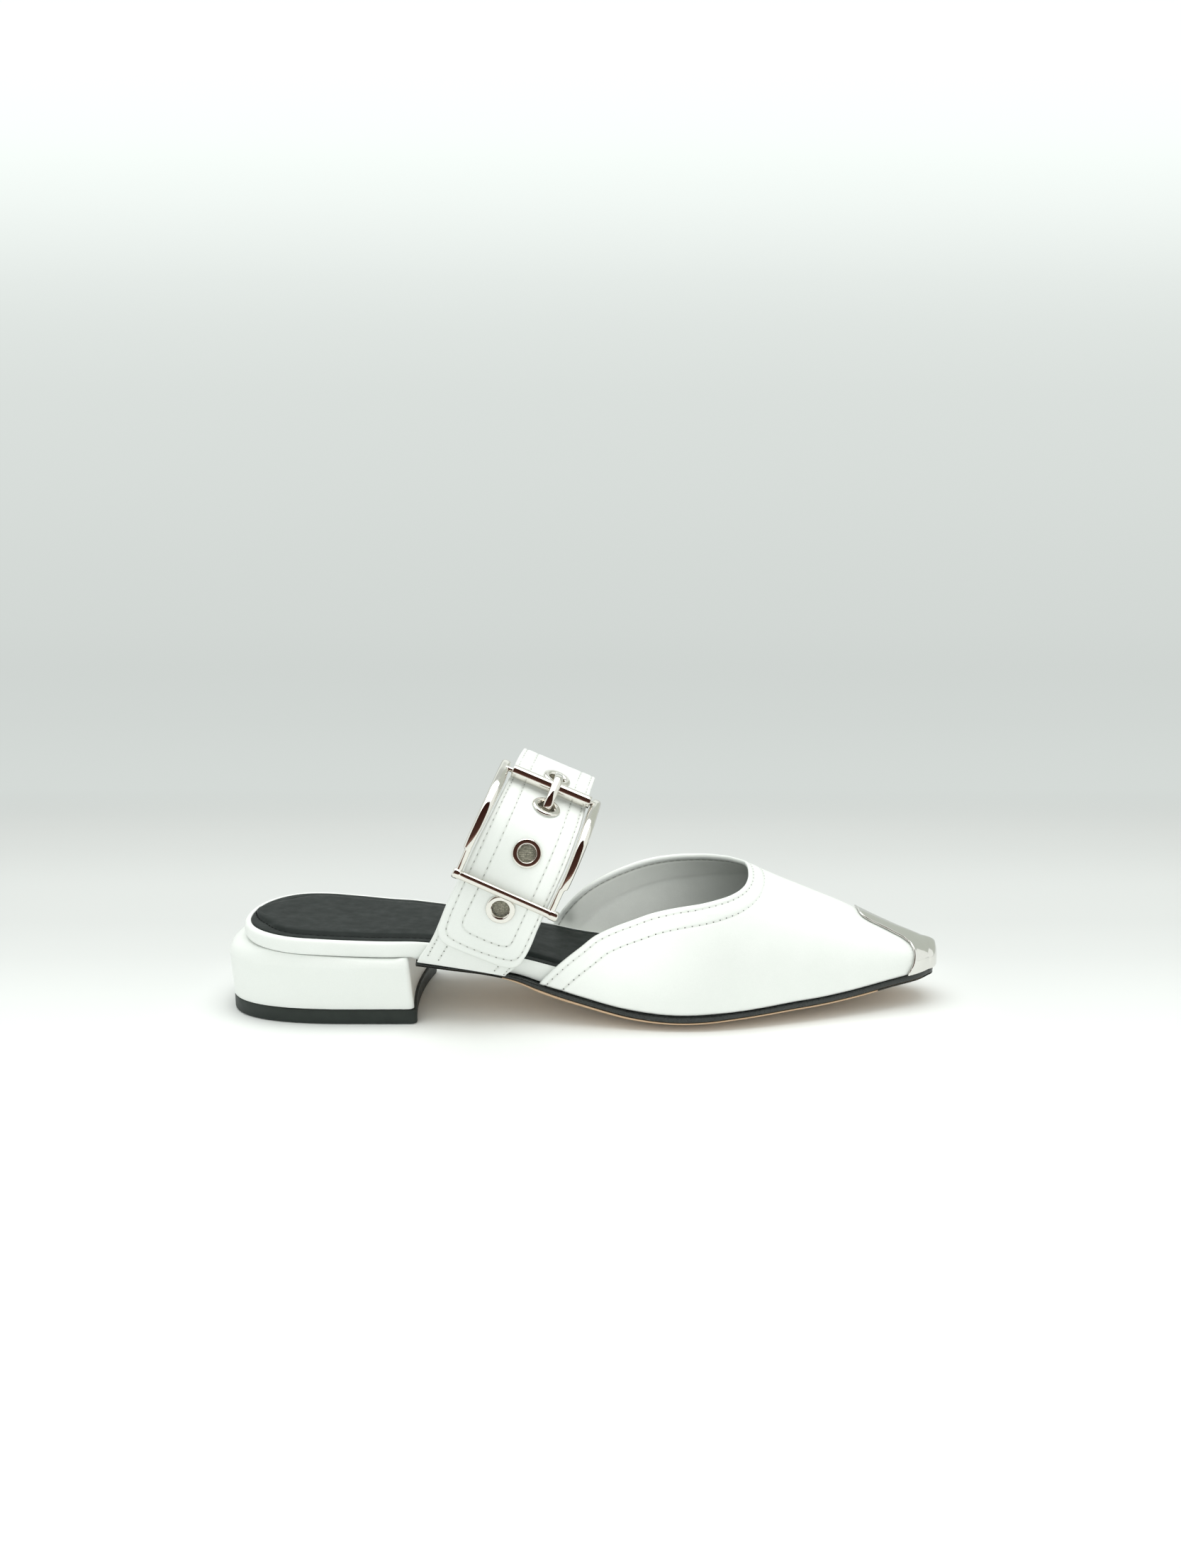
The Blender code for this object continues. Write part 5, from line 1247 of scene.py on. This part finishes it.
def strap_columns(a, b, seams):
    """Places across the strap, closer together at its edges and along its seams."""
    w = list(np.arange(a + 1.6, b - 1.4, 0.95))
    for seam in seams:
        w = [x for x in w if abs(x - seam) > 1.0] + list(seam + np.array([-0.9, -0.6, -0.36, -0.15, 0.05, 0.3, 0.55, 0.85]))
    w = sorted(w)
    kept = [w[0]]
    for x in w[1:]:
        if x - kept[-1] > 0.12:
            kept.append(x)
    rim = np.array([0, 0.03, 0.1, 0.21, 0.36, 0.54, 0.78, 1.1])
    kept = [x for x in kept if a + 1.3 < x < b - 1.3]
    w = np.concatenate([a + rim, kept, (b - rim)[::-1]])
    return (w - a) / (b - a)


def strap_sheet(s, v, edges, top, bottom, holes, lift):
    """A layer of the strap: s is a grid of places along it, v across it, with round holes punched out."""
    a = at(edges, "heelward", near_end(s))
    b = at(edges, "toeward", near_end(s))
    w = a + (b - a) * v
    s, w = s.copy(), w.copy()
    rows, cols = s.shape
    gone = np.zeros((rows - 1, cols - 1), bool)
    for hs, hw, r in holes:
        cs = (s[:-1, :-1] + s[1:, :-1] + s[:-1, 1:] + s[1:, 1:]) / 4
        cw = (w[:-1, :-1] + w[1:, :-1] + w[:-1, 1:] + w[1:, 1:]) / 4
        inside = np.hypot(cs - hs, cw - hw) < r
        gone |= inside
        touch = np.zeros((rows, cols), bool)
        kept = np.zeros((rows, cols), bool)
        for dr in (0, 1):
            for dc in (0, 1):
                touch[dr:rows - 1 + dr, dc:cols - 1 + dc] |= inside
                kept[dr:rows - 1 + dr, dc:cols - 1 + dc] |= ~inside
        border = touch & kept
        away = np.hypot(s - hs, w - hw)
        away = np.maximum(away, 1e-6)
        s = np.where(border, hs + (s - hs) / away * r, s)
        w = np.where(border, hw + (w - hw) / away * r, w)
    return s, w, gone


def layer_mesh(s, w, over_t, under_t, gone):
    rows, cols = s.shape
    over, under = strap_surface(s, w, over_t), strap_surface(s, w, under_t)
    points = np.concatenate([over.reshape(-1, 3), under.reshape(-1, 3)])
    o = np.arange(rows * cols).reshape(rows, cols)
    u = o + rows * cols
    faces = []
    for r in range(rows - 1):
        for c in range(cols - 1):
            if gone[r, c]:
                continue
            faces.append((o[r, c], o[r, c + 1], o[r + 1, c + 1], o[r + 1, c]))
            faces.append((u[r, c], u[r + 1, c], u[r + 1, c + 1], u[r, c + 1]))
            for dr, dc, e in ((-1, 0, ((r, c), (r, c + 1))), (1, 0, ((r + 1, c), (r + 1, c + 1))),
                              (0, -1, ((r, c), (r + 1, c))), (0, 1, ((r, c + 1), (r + 1, c + 1)))):
                rr, cc = r + dr, c + dc
                if 0 <= rr < rows - 1 and 0 <= cc < cols - 1 and not gone[rr, cc]:
                    continue
                (r1, c1), (r2, c2) = e
                faces.append((o[r1, c1], o[r2, c2], u[r2, c2], u[r1, c1]))
    return points, [tuple(int(i) for i in f) for f in faces]


def build_strap_top():
    s_half = np.concatenate([[7.8, 7.83, 7.9, 8.0, 8.14, 8.3, 8.5, 8.75], np.arange(9.0, 18.6, 0.33), np.arange(19.2, 27.5, 0.85),
                             np.arange(28.0, STRAP_LENGTH / 2, 0.8)])
    s_all = np.concatenate([s_half, STRAP_LENGTH - s_half[::-1]])
    v = strap_columns(-15.9, 16.1, (-13.8, -8.7, 9.95, 14.7))
    s, vv = np.meshgrid(s_all, v, indexing="ij")
    holes = [(a, c, EYELET_HOLE) for a, c in zip(EYELETS["along"], EYELETS["across"])]
    s, w, gone = strap_sheet(s, vv, OVERLAY_EDGE, OVERLAY[1], OVERLAY[0], holes, 0)
    ends = []
    for sign in (0, 1):
        k = np.linspace(7.8, STRAP_LENGTH / 2, 900)
        at_s = k if sign == 0 else STRAP_LENGTH - k
        ends.append(np.stack([at_s, at(OVERLAY_EDGE, "heelward", k)], 1))
        ends.append(np.stack([at_s, at(OVERLAY_EDGE, "toeward", k)], 1))
        ends.append(np.array([(at_s[0], OVERLAY_EDGE["heelward"][0]), (at_s[0], OVERLAY_EDGE["toeward"][0])]))
    e = plane_distance(s, w, ends)
    e[0] = e[-1] = 0
    e[:, 0] = e[:, -1] = 0
    seam = plane_distance(s, w, SEAM_LINES)
    h = (OVERLAY[1] - OVERLAY[0]) / 2
    mid = (OVERLAY[1] + OVERLAY[0]) / 2
    rise = h - edge_round(e, h)
    puff = 0.07 * gauss(seam, 1.9, 1.3) + 0.03 * np.sin(s / 5.3 + w / 4.1) * np.clip(e / 3, 0, 1)
    over = mid + rise - 0.2 * gauss(seam, 0, 0.42) + puff * np.clip(e / 1.2, 0, 1)
    under = mid - rise
    points, faces = layer_mesh(s, w, over, under, gone)
    # Painted shade along the seams, and wear along the edges.
    wear_and_painted_shade = np.concatenate([(0.9 * gauss(seam, 0, 0.28) + 0.25 * gauss(e, 0, 0.5)).reshape(-1), np.zeros(s.size)])
    piece("strap_cover", points, faces, [white], ["instep_strap"], wear_and_painted_shade=wear_and_painted_shade, weld=True, sharp=50)
    threads, slots = seam_stitches(SEAM_LINES, -0.16, 1.15, 0.30, STITCH_ON_TOP)
    for name, parts, look in (("strap_stitches", threads, thread), ("strap_stitch_slots", slots, seam_shade)):
        points, faces = joined(parts)
        piece(name, points, faces, [look], orient=False)


def foot_of_band(across, inner_side):
    low, high = -5.5, 14.0
    for _ in range(30):
        s = (low + high) / 2
        p = strap_surface(STRAP_LENGTH - s if inner_side else s, across, sum(BAND) / 2)
        x = max(float(p[0]), SOLE_START)
        a, b = sole_sides(x)
        if p[2] < sole_face(3, x, b if inner_side else a) + GAP:
            low = s
        else:
            high = s
    return (low + high) / 2


def build_strap_base():
    v = strap_columns(-16.2, 16.0, (-14.4, -10.2, 9.6, 13.6))
    s_half = np.concatenate([np.arange(14.0, 27.5, 0.9), np.arange(28.0, STRAP_LENGTH / 2, 1.5)])
    s_mid = np.concatenate([s_half, STRAP_LENGTH - s_half[::-1]])
    f = np.linspace(0, 1, 34)[:-1]
    foot = []
    for inner_side in (False, True):
        probes = np.linspace(0, 1, 25)
        starts = [foot_of_band((1 - p) * -16.8 + p * 13.2, inner_side) for p in probes]
        start = np.interp(v, probes, starts)
        foot.append(start[None] + (14 - start)[None] * f[:, None])
    s = np.concatenate([foot[0], np.broadcast_to(s_mid[:, None], (len(s_mid), len(v))), (STRAP_LENGTH - foot[1])[::-1]])
    s, w, gone = strap_sheet(s, np.broadcast_to(v, s.shape), BAND_EDGE, BAND[1], BAND[0], [], 0)
    a, b = at(BAND_EDGE, "heelward", near_end(s)), at(BAND_EDGE, "toeward", near_end(s))
    e = np.minimum(w - a, b - w)
    seams = []
    for line in BASE_SEAMS:
        seams += both_legs(resample(np.array(line, float), 0.3)[0])
    seam = plane_distance(s, w, seams)
    h = (BAND[1] - BAND[0]) / 2
    mid = (BAND[1] + BAND[0]) / 2
    rise = h - edge_round(e, h)
    over = mid + rise - 0.16 * gauss(seam, 0, 0.42)
    points, faces = layer_mesh(s, w, over, mid - rise, gone)
    # Painted shade along the seams, and wear along the edges.
    wear_and_painted_shade = np.concatenate([(0.8 * gauss(seam, 0, 0.3) + 0.3 * gauss(e, 0, 0.5)).reshape(-1), np.zeros(s.size)])
    piece("strap_band", points, faces, [white], ["strap_base"], wear_and_painted_shade=wear_and_painted_shade, weld=True, sharp=50)
    threads, slots = seam_stitches(seams, BAND[1] - 0.13, 0.55, 0.5, 1.85)
    for name, parts, look in (("band_stitches", threads, thread), ("band_needle_holes", slots, needle_hole_shade)):
        points, faces = joined(parts)
        piece(name, points, faces, [look], orient=False)


# ---- eyelets and buckle -------------------------------------------------------------------------
def swept(loops, ring=False):
    """Points and faces of a row of loops: capped at both ends by a small fan, or joined into a ring."""
    loops = np.asarray(loops, float)
    rows, count = loops.shape[:2]
    points = loops.reshape(-1, 3)
    if ring:
        grid = np.arange(rows * count).reshape(rows, count)
        nxt, side = np.roll(grid, -1, axis=0), np.roll(grid, -1, axis=1)
        faces = np.stack([grid, side, np.roll(nxt, -1, axis=1), nxt], -1).reshape(-1, 4).tolist()
        return points, faces
    faces = quads(rows, count, wrap=True)
    for row, k in ((0, rows * count), (rows - 1, rows * count + 1)):
        points = np.concatenate([points, loops[row].mean(axis=0)[None]])
        for m in range(count):
            a, b = row * count + m, row * count + (m + 1) % count
            faces.append((a, b, k))
    return points, faces


def lathe(basis, profile, count):
    centre, u, v, axis = basis
    loops = []
    for a in np.linspace(0, 2 * math.pi, count, endpoint=False):
        direction = u * math.cos(a) + v * math.sin(a)
        loops.append([centre + direction * r + axis * h for r, h in profile])
    return swept(loops, ring=True)


def build_eyelets():
    inner, outer = EYELET_IN, EYELET_OUT
    profile = ([(inner, -1.1), (inner, -0.4), (inner, 0.18), (inner + 0.03, 0.3), (inner + 0.1, 0.42), (inner + 0.22, 0.56), (inner + 0.36, 0.69)]
               + [(inner + 0.44, 0.79), (inner + 0.52, 0.86), (inner + 0.62, 0.905), (inner + 0.8, 0.93), (4.05, 0.945), (outer - 0.78, 0.93),
                  (outer - 0.6, 0.905), (outer - 0.45, 0.86), (outer - 0.3, 0.78), (outer - 0.16, 0.66), (outer - 0.05, 0.52), (outer, 0.4),
                  (outer - 0.04, 0.28), (outer - 0.2, 0.24), (inner + 0.6, 0.24), (inner + 0.55, 0.15), (inner + 0.55, -1.1)])
    for k, (s, w) in enumerate(zip(EYELETS["along"], EYELETS["across"])):
        basis = strap_frame(s, w)
        points, faces = lathe(basis, profile, 72)
        piece("eyelet_ring_%d" % (k + 1), points, faces, [nickel], ["eyelet_%d" % (k + 1)], sharp=50)
        disc = [(0.02, -1.16), (1.2, -1.12), (2.2, -1.14), (2.8, -1.2), (2.84, -1.5), (0.02, -1.5)]
        points, faces = lathe(basis, disc, 40)
        piece("eyelet_backing_%d" % (k + 1), points, faces, [weave], weld=True)


def bar_loops(bar, count=32):
    first, last = bar["along"][0], bar["along"][-1]
    s = np.concatenate([np.arange(first, 44.3, 0.6), np.arange(44.3, 45.8, 0.12), np.arange(46.2, last - 2.2, 0.7),
                        np.linspace(last - 2.2, last, 12)])
    values = {name: monotone(bar["along"], bar[name], s) for name in ("outer", "inner", "low", "high")}
    a = np.minimum(values["outer"], values["inner"])
    b = np.maximum(values["outer"], values["inner"])
    low, high = values["low"], values["high"]
    turn = np.linspace(0, 2 * math.pi, count, endpoint=False)
    power = 2.7
    cx = np.sign(np.cos(turn)) * np.abs(np.cos(turn)) ** (2 / power)
    cy = np.sign(np.sin(turn)) * np.abs(np.sin(turn)) ** (2 / power)
    w = (a + b)[:, None] / 2 + (b - a)[:, None] / 2 * cx[None]
    t = (low + high)[:, None] / 2 + (high - low)[:, None] / 2 * cy[None]
    return strap_surface(np.broadcast_to(s[:, None], w.shape), w, t)


def round_bar(s, t, profile, count):
    centre, run, across, out = strap_frame(s, 0.0, t)
    loops = []
    for w, r in profile:
        loops.append([centre + across * w + r * (run * math.cos(a) + out * math.sin(a))
                      for a in np.linspace(0, 2 * math.pi, count, endpoint=False)])
    return swept(loops)


def rounded_ends(a, b, r, cap=0.9, soft=0.5):
    """Profile of a round bar's eased end at a, as (place, radius); b is not used."""
    turn = np.radians(np.linspace(0, 90, 7))
    left = [(a + soft * (1 - math.sin(k)), r - soft * (1 - math.cos(k)) * 1.0) for k in turn[::-1]]
    return left


def build_buckle():
    parts = [swept(bar_loops(BAR_HEELWARD)), swept(bar_loops(BAR_TOEWARD))]
    turn = np.radians(np.linspace(0, 90, 7))
    cap, bar = 1.85, BAR_R
    profile = [(-19.0 + 0.7 * (1 - math.sin(k)), cap - 0.7 * (1 - math.sin(math.pi / 2 - k))) for k in turn][::1]
    left = [(-19.05 + 0.7 * (1 - math.cos(k)), cap - 0.7 * (1 - math.sin(k))) for k in turn]
    right = [(20.55 - 0.7 * (1 - math.cos(k)), cap - 0.7 * (1 - math.sin(k))) for k in turn][::-1]
    profile = (left + [(-17.0, cap), (-16.6, cap - 0.05), (-16.35, bar + 0.06), (-16.1, bar)]
               + [(w, bar) for w in np.linspace(-14, 15, 12)] + [(17.0, bar), (17.25, bar + 0.06), (17.5, cap - 0.05),
                                                                 (17.9, cap)] + right)
    parts.append(round_bar(BAR_S, BAR_T, profile, 40))
    parts.append(round_bar(ROLLER_S, ROLLER_T, [(-17.3, PIN_R - 0.3), (-17.0, PIN_R), (0, PIN_R), (17.6, PIN_R), (17.9, PIN_R - 0.3)], 28))
    points, faces = joined(parts)
    piece("buckle_bars", points, faces, [nickel], ["buckle_frame"], sharp=45)
    centre, run, across, out = strap_frame(ROLLER_S, 0.0, ROLLER_T)
    a, b, r = ROLLER_FROM, ROLLER_TO, ROLLER_R
    ease = [(r - 0.35 * (1 - math.sin(k)), 0.35 * (1 - math.cos(k))) for k in turn]
    profile = [(ROLLER_BORE, a)] + [(rr, a + h) for rr, h in ease] + [(r, w) for w in np.linspace(a + 2, b - 2, 8)] + [
        (rr, b - h) for rr, h in ease[::-1]] + [(ROLLER_BORE, b)]
    points, faces = lathe((centre, run, out, across), profile, 56)
    piece("buckle_tube", points, faces, [nickel], ["buckle_roller"], sharp=45)
    index = np.arange(len(PRONG["along"]))
    fine = np.linspace(0, len(index) - 1, 81)
    s, t = smooth(index, PRONG["along"], fine), smooth(index, PRONG["height"], fine)
    spine = strap_surface(s, PRONG_ACROSS, t)
    runs = unit(np.gradient(spine, axis=0))
    side_dir = unit(ACROSS - runs * (runs @ ACROSS)[:, None])
    up = np.cross(runs, side_dir)
    turns = np.linspace(0, 2 * math.pi, 32, endpoint=False)
    last = len(index) - 1
    r = np.interp(fine, [0, 0.4, last - 0.4, last], [0.8, 1, 1, 0.8])
    cs = np.sign(np.cos(turns)) * np.abs(np.cos(turns)) ** 0.85
    sn = np.sign(np.sin(turns)) * np.abs(np.sin(turns)) ** 0.85
    loops = (spine[:, None] + (PRONG_HALF * r[:, None] * cs)[..., None] * side_dir[:, None]
             + (PRONG_THICK * r[:, None] * sn)[..., None] * up[:, None])
    points, faces = swept(loops)
    piece("buckle_tongue", points, faces, [nickel], ["buckle_prong"], sharp=45)


# ---- put it together ----------------------------------------------------------------------------
build_upper()
build_plate()
build_strap_base()
build_strap_top()
build_eyelets()
build_buckle()
build_insole()
build_board()
build_heel()
points, faces = sole_layer(0, 1, ((0, 0.35), (0.15, 0.12), (0.45, 0.0), (0.85, 0.0), (1, 0.06)))
middles = points[np.array([f[:4] for f in faces])].mean(axis=1)
near_side = np.minimum(*[np.abs(middles[:, 1] - side) for side in sole_sides(middles[:, 0])]) < 0.5
dyed = near_side & ((middles[:, 0] < 104.5 + 1.2 * np.sin(middles[:, 2])) | (middles[:, 0] > 240))
piece("sole_leather", points, faces, [tan_leather, black_edge], ["outsole"], sharp=50,
      face_looks=dyed.astype(int))
points, faces = sole_layer(2, 3, ((0, 0.12), (0.1, 0.02), (0.3, -0.04), (0.7, -0.04), (0.92, 0.02), (1, 0.14)))
piece("sole_edge", points, faces, [black_edge], ["edge_band"], sharp=50)

# ---- studio -------------------------------------------------------------------------------------
scene = bpy.context.scene
scene.view_settings.view_transform = "Standard"
scene.view_settings.look = "None"
scene.view_settings.exposure = 0.0

EYE = place([134.5, -434.5, 159.5])
lens = bpy.data.cameras.new("camera")
lens.sensor_width = 36.0
lens.lens = 36.0 * 1670.0 / 2212.0
lens.clip_start, lens.clip_end = 0.01, 50.0
camera = bpy.data.objects.new("camera", lens)
camera.location = EYE
camera.rotation_euler = (math.radians(80.0), 0.0, 0.0)
scene.collection.objects.link(camera)
scene.camera = camera

# One pale sheet: flat under the shoe, then swept up behind it. The first part is lit, its colour painted darker toward
# the back as painted shade; the rest glows softly, a painted light whose shade runs from the floor's white through grey
# and back to white above.
BEND_FROM, BEND_RADIUS, WALL_TOP = 0.45, 0.5, 3.0
# The lit floor's colour by its run back from the shoe: painted shade, darker toward the back.
SWEEP = table("run floor glow", [
    (-9.0, 0.78, 0.0), (-0.075, 0.78, 0.0), (-0.03, 0.745, 0.0), (0.0, 0.71, 0.0), (0.05, 0.64, 0.0), (0.10, 0.602, 0.0), (0.166, 0.592, 0.0),
    (0.246, 0.545, 0.0), (0.35, 0.508, 0.0), (0.45, 0.48, 0.0), (9.0, 0.48, 0.0),
])
# The glowing wall's brightness by height, a painted light; its higher part, out of view, shows in reflections and gives
# light.
GLOW = table("z shade", [
    (0.0, 0.69), (0.03, 0.668), (0.07, 0.656), (0.11, 0.674), (0.17, 0.688), (0.26, 0.711), (0.36, 0.733), (0.43, 0.77), (0.48, 0.818),
    (0.55, 0.915), (0.62, 0.998), (0.69, 1.04), (0.78, 1.04), (0.9, 0.86), (1.05, 0.70), (1.3, 0.62), (2.4, 0.60), (3.0, 0.70),
])


def painted_floor_light(x, y):
    """Painted light: the sheet's colour is made paler right round and below the shoe, standing in for light that
    bounces between the two.
    """
    side = np.hypot(np.maximum(np.abs(x) - 0.125, 0) / 1.0, np.maximum(np.abs(y + 0.002) - 0.033, 0) / 1.0)
    near = np.exp(-(side / 0.021) ** 2)
    below = np.exp(-(((x + 0.022) / 0.036) ** 2 + (y / 0.034) ** 2))
    front = np.exp(-((np.maximum(np.abs(x - 0.03) - 0.05, 0) / 0.03) ** 2 + ((y + 0.03) / 0.016) ** 2))
    return near, np.maximum(below, 0.8 * front)


def backdrop():
    bend = np.radians(np.linspace(0, 90, 41))
    runs = [(y, 0.0) for y in np.concatenate([[-4.0, -2.0, -1.0, -0.5], np.linspace(-0.3, -0.1, 11)[:-1],
                                              np.linspace(-0.1, 0.1, 51)[:-1], np.linspace(0.1, BEND_FROM, 36)])]
    runs += [(BEND_FROM + BEND_RADIUS * math.sin(a), BEND_RADIUS - BEND_RADIUS * math.cos(a)) for a in bend[1:]]
    runs += [(BEND_FROM + BEND_RADIUS, z) for z in np.linspace(BEND_RADIUS, WALL_TOP, 40)[1:]]
    xs = np.concatenate([[-4.0, -2.0, -1.0, -0.5, -0.3], np.linspace(-0.2, 0.2, 81), [0.3, 0.5, 1.0, 2.0, 4.0]])
    points = np.array([(x, y, z - 0.0001) for y, z in runs for x in xs])
    mesh = bpy.data.meshes.new("sweep")
    mesh.from_pydata(points.tolist(), [], quads(len(runs), len(xs)))
    mesh.shade_smooth()
    near, below = painted_floor_light(points[:, 0], points[:, 1])
    # Painted shade darkens the floor toward the back, and painted light makes it paler round and below the shoe.
    floor_painted_light_and_shade = np.interp(points[:, 1], SWEEP["run"], SWEEP["floor"])
    floor_painted_light_and_shade = np.clip(floor_painted_light_and_shade * (1 + 0.13 * near), 0, 0.93)
    floor_painted_light_and_shade = floor_painted_light_and_shade + (0.97 - floor_painted_light_and_shade) * below
    glow_shade = np.interp(points[:, 2], GLOW["z"], GLOW["shade"])
    mix = np.clip((points[:, 1] - (BEND_FROM - 0.14)) / 0.14, 0, 1)
    for name, values in (("floor_painted_light_and_shade", floor_painted_light_and_shade), ("glow_shade", glow_shade), ("glow_part", mix)):
        mesh.attributes.new(name, "FLOAT", "POINT").data.foreach_set("value", values.astype(np.float32))
    made = bpy.data.objects.new("sweep", mesh)
    scene.collection.objects.link(made)
    look = bpy.data.materials.new("sweep_look")
    look.use_nodes = True
    nodes, links = look.node_tree.nodes, look.node_tree.links
    nodes.clear()
    out = nodes.new("ShaderNodeOutputMaterial")
    blend = nodes.new("ShaderNodeMixShader")
    lit = nodes.new("ShaderNodeBsdfDiffuse")
    glow = nodes.new("ShaderNodeEmission")

    def tinted(attribute, tint):
        read = nodes.new("ShaderNodeAttribute")
        read.attribute_name = attribute
        mul = nodes.new("ShaderNodeVectorMath")
        mul.operation = "SCALE"
        mul.inputs[0].default_value = tint
        links.new(read.outputs["Fac"], mul.inputs["Scale"])
        return mul.outputs["Vector"]

    links.new(tinted("floor_painted_light_and_shade", (0.985, 1.0, 0.99)), lit.inputs["Color"])
    links.new(tinted("glow_shade", (0.965, 1.02, 0.985)), glow.inputs["Color"])
    part = nodes.new("ShaderNodeAttribute")
    part.attribute_name = "glow_part"
    links.new(part.outputs["Fac"], blend.inputs[0])
    links.new(lit.outputs[0], blend.inputs[1])
    links.new(glow.outputs[0], blend.inputs[2])
    links.new(blend.outputs[0], out.inputs["Surface"])
    mesh.materials.append(look)


def glowing_reflection_card(name, corners, colours):
    """A glowing coloured card that only polished surfaces see, a painted reflection of the room as they would see it.
    Its rows run upwards.
    """
    mesh = bpy.data.meshes.new(name)
    mesh.from_pydata(corners, [], quads(len(corners) // 2, 2))
    made = bpy.data.objects.new(name, mesh)
    scene.collection.objects.link(made)
    shade = mesh.color_attributes.new("room", "FLOAT_COLOR", "POINT")
    shade.data.foreach_set("color", np.array([(*c, 1.0) for c in colours], np.float32).reshape(-1))
    look = bpy.data.materials.new(name + "_look")
    look.use_nodes = True
    nodes, links = look.node_tree.nodes, look.node_tree.links
    nodes.clear()
    out = nodes.new("ShaderNodeOutputMaterial")
    glow = nodes.new("ShaderNodeEmission")
    read = nodes.new("ShaderNodeAttribute")
    read.attribute_name = "room"
    links.new(read.outputs["Color"], glow.inputs["Color"])
    links.new(glow.outputs[0], out.inputs["Surface"])
    mesh.materials.append(look)
    made.visible_camera = False
    made.visible_diffuse = False
    made.visible_shadow = False
    made.visible_transmission = False
    made.visible_volume_scatter = False
    return made


backdrop()
# Painted reflection of the unlit half of the room in front of the shoe, on a glowing card: brown and dim low down,
# almost black higher up.
ROOM = table("z red green blue", [
    (0.025, 0.26, 0.155, 0.12), (0.10, 0.20, 0.108, 0.083), (0.16, 0.095, 0.045, 0.035), (0.226, 0.072, 0.033, 0.025),
    (0.418, 0.062, 0.028, 0.021), (0.68, 0.052, 0.021, 0.015), (1.13, 0.034, 0.011, 0.008), (1.97, 0.018, 0.004, 0.003),
])
levels = list(zip(ROOM["z"], zip(ROOM["red"], ROOM["green"], ROOM["blue"])))
glowing_reflection_card("room_card", [(x, -0.62, z) for z, _ in levels for x in (-0.85, 0.85)], [c for _, c in levels for x in (0, 1)])
# A grey glowing card off to the right and behind: a painted reflection, seen only in polished surfaces.
glowing_reflection_card("side_card", [(x, y, z) for z in (0.02, 1.5) for x, y in ((0.44, 0.9), (2.4, 0.5))], [(0.575, 0.615, 0.56)] * 4)

world = bpy.data.worlds.new("world")
scene.world = world
world.use_nodes = True
sky = world.node_tree.nodes["Background"]
sky.inputs["Color"].default_value = (0.985, 1.02, 0.985, 1.0)
sky.inputs["Strength"].default_value = 1.0

lamp = bpy.data.lights.new("ceiling", "AREA")
lamp.shape = "RECTANGLE"
lamp.size, lamp.size_y = 1.5, 1.2
lamp.energy = 12.0
lamp.color = (1.0, 1.0, 0.985)
ceiling = bpy.data.objects.new("ceiling", lamp)
ceiling.location = (0.0, 0.15, 1.35)
scene.collection.objects.link(ceiling)


# A weak, wide lamp by the camera, and a small one beside it that reaches into the opening.
front = bpy.data.lights.new("front", "AREA")
front.shape = "RECTANGLE"
front.size, front.size_y = 1.2, 0.8
front.energy = 0.32
front.color = (1.0, 1.0, 0.985)
before = bpy.data.objects.new("front", front)
before.location = (0.0, -1.3, 0.45)
before.rotation_euler = (math.radians(76.0), 0.0, 0.0)
before.visible_glossy = False
scene.collection.objects.link(before)

reach = bpy.data.lights.new("reach", "SPOT")
reach.energy = 16.0
reach.spot_size = math.radians(4.0)
reach.spot_blend = 1.0
reach.shadow_soft_size = 0.03
reach.color = (1.0, 1.0, 0.985)
under = bpy.data.objects.new("reach", reach)
under.location = (-0.03, -0.60, 0.215)
aim = Vector((0.0125, 0.026, 0.027)) - Vector(under.location)
under.rotation_euler = aim.to_track_quat("-Z", "Y").to_euler()
under.visible_glossy = False
scene.collection.objects.link(under)
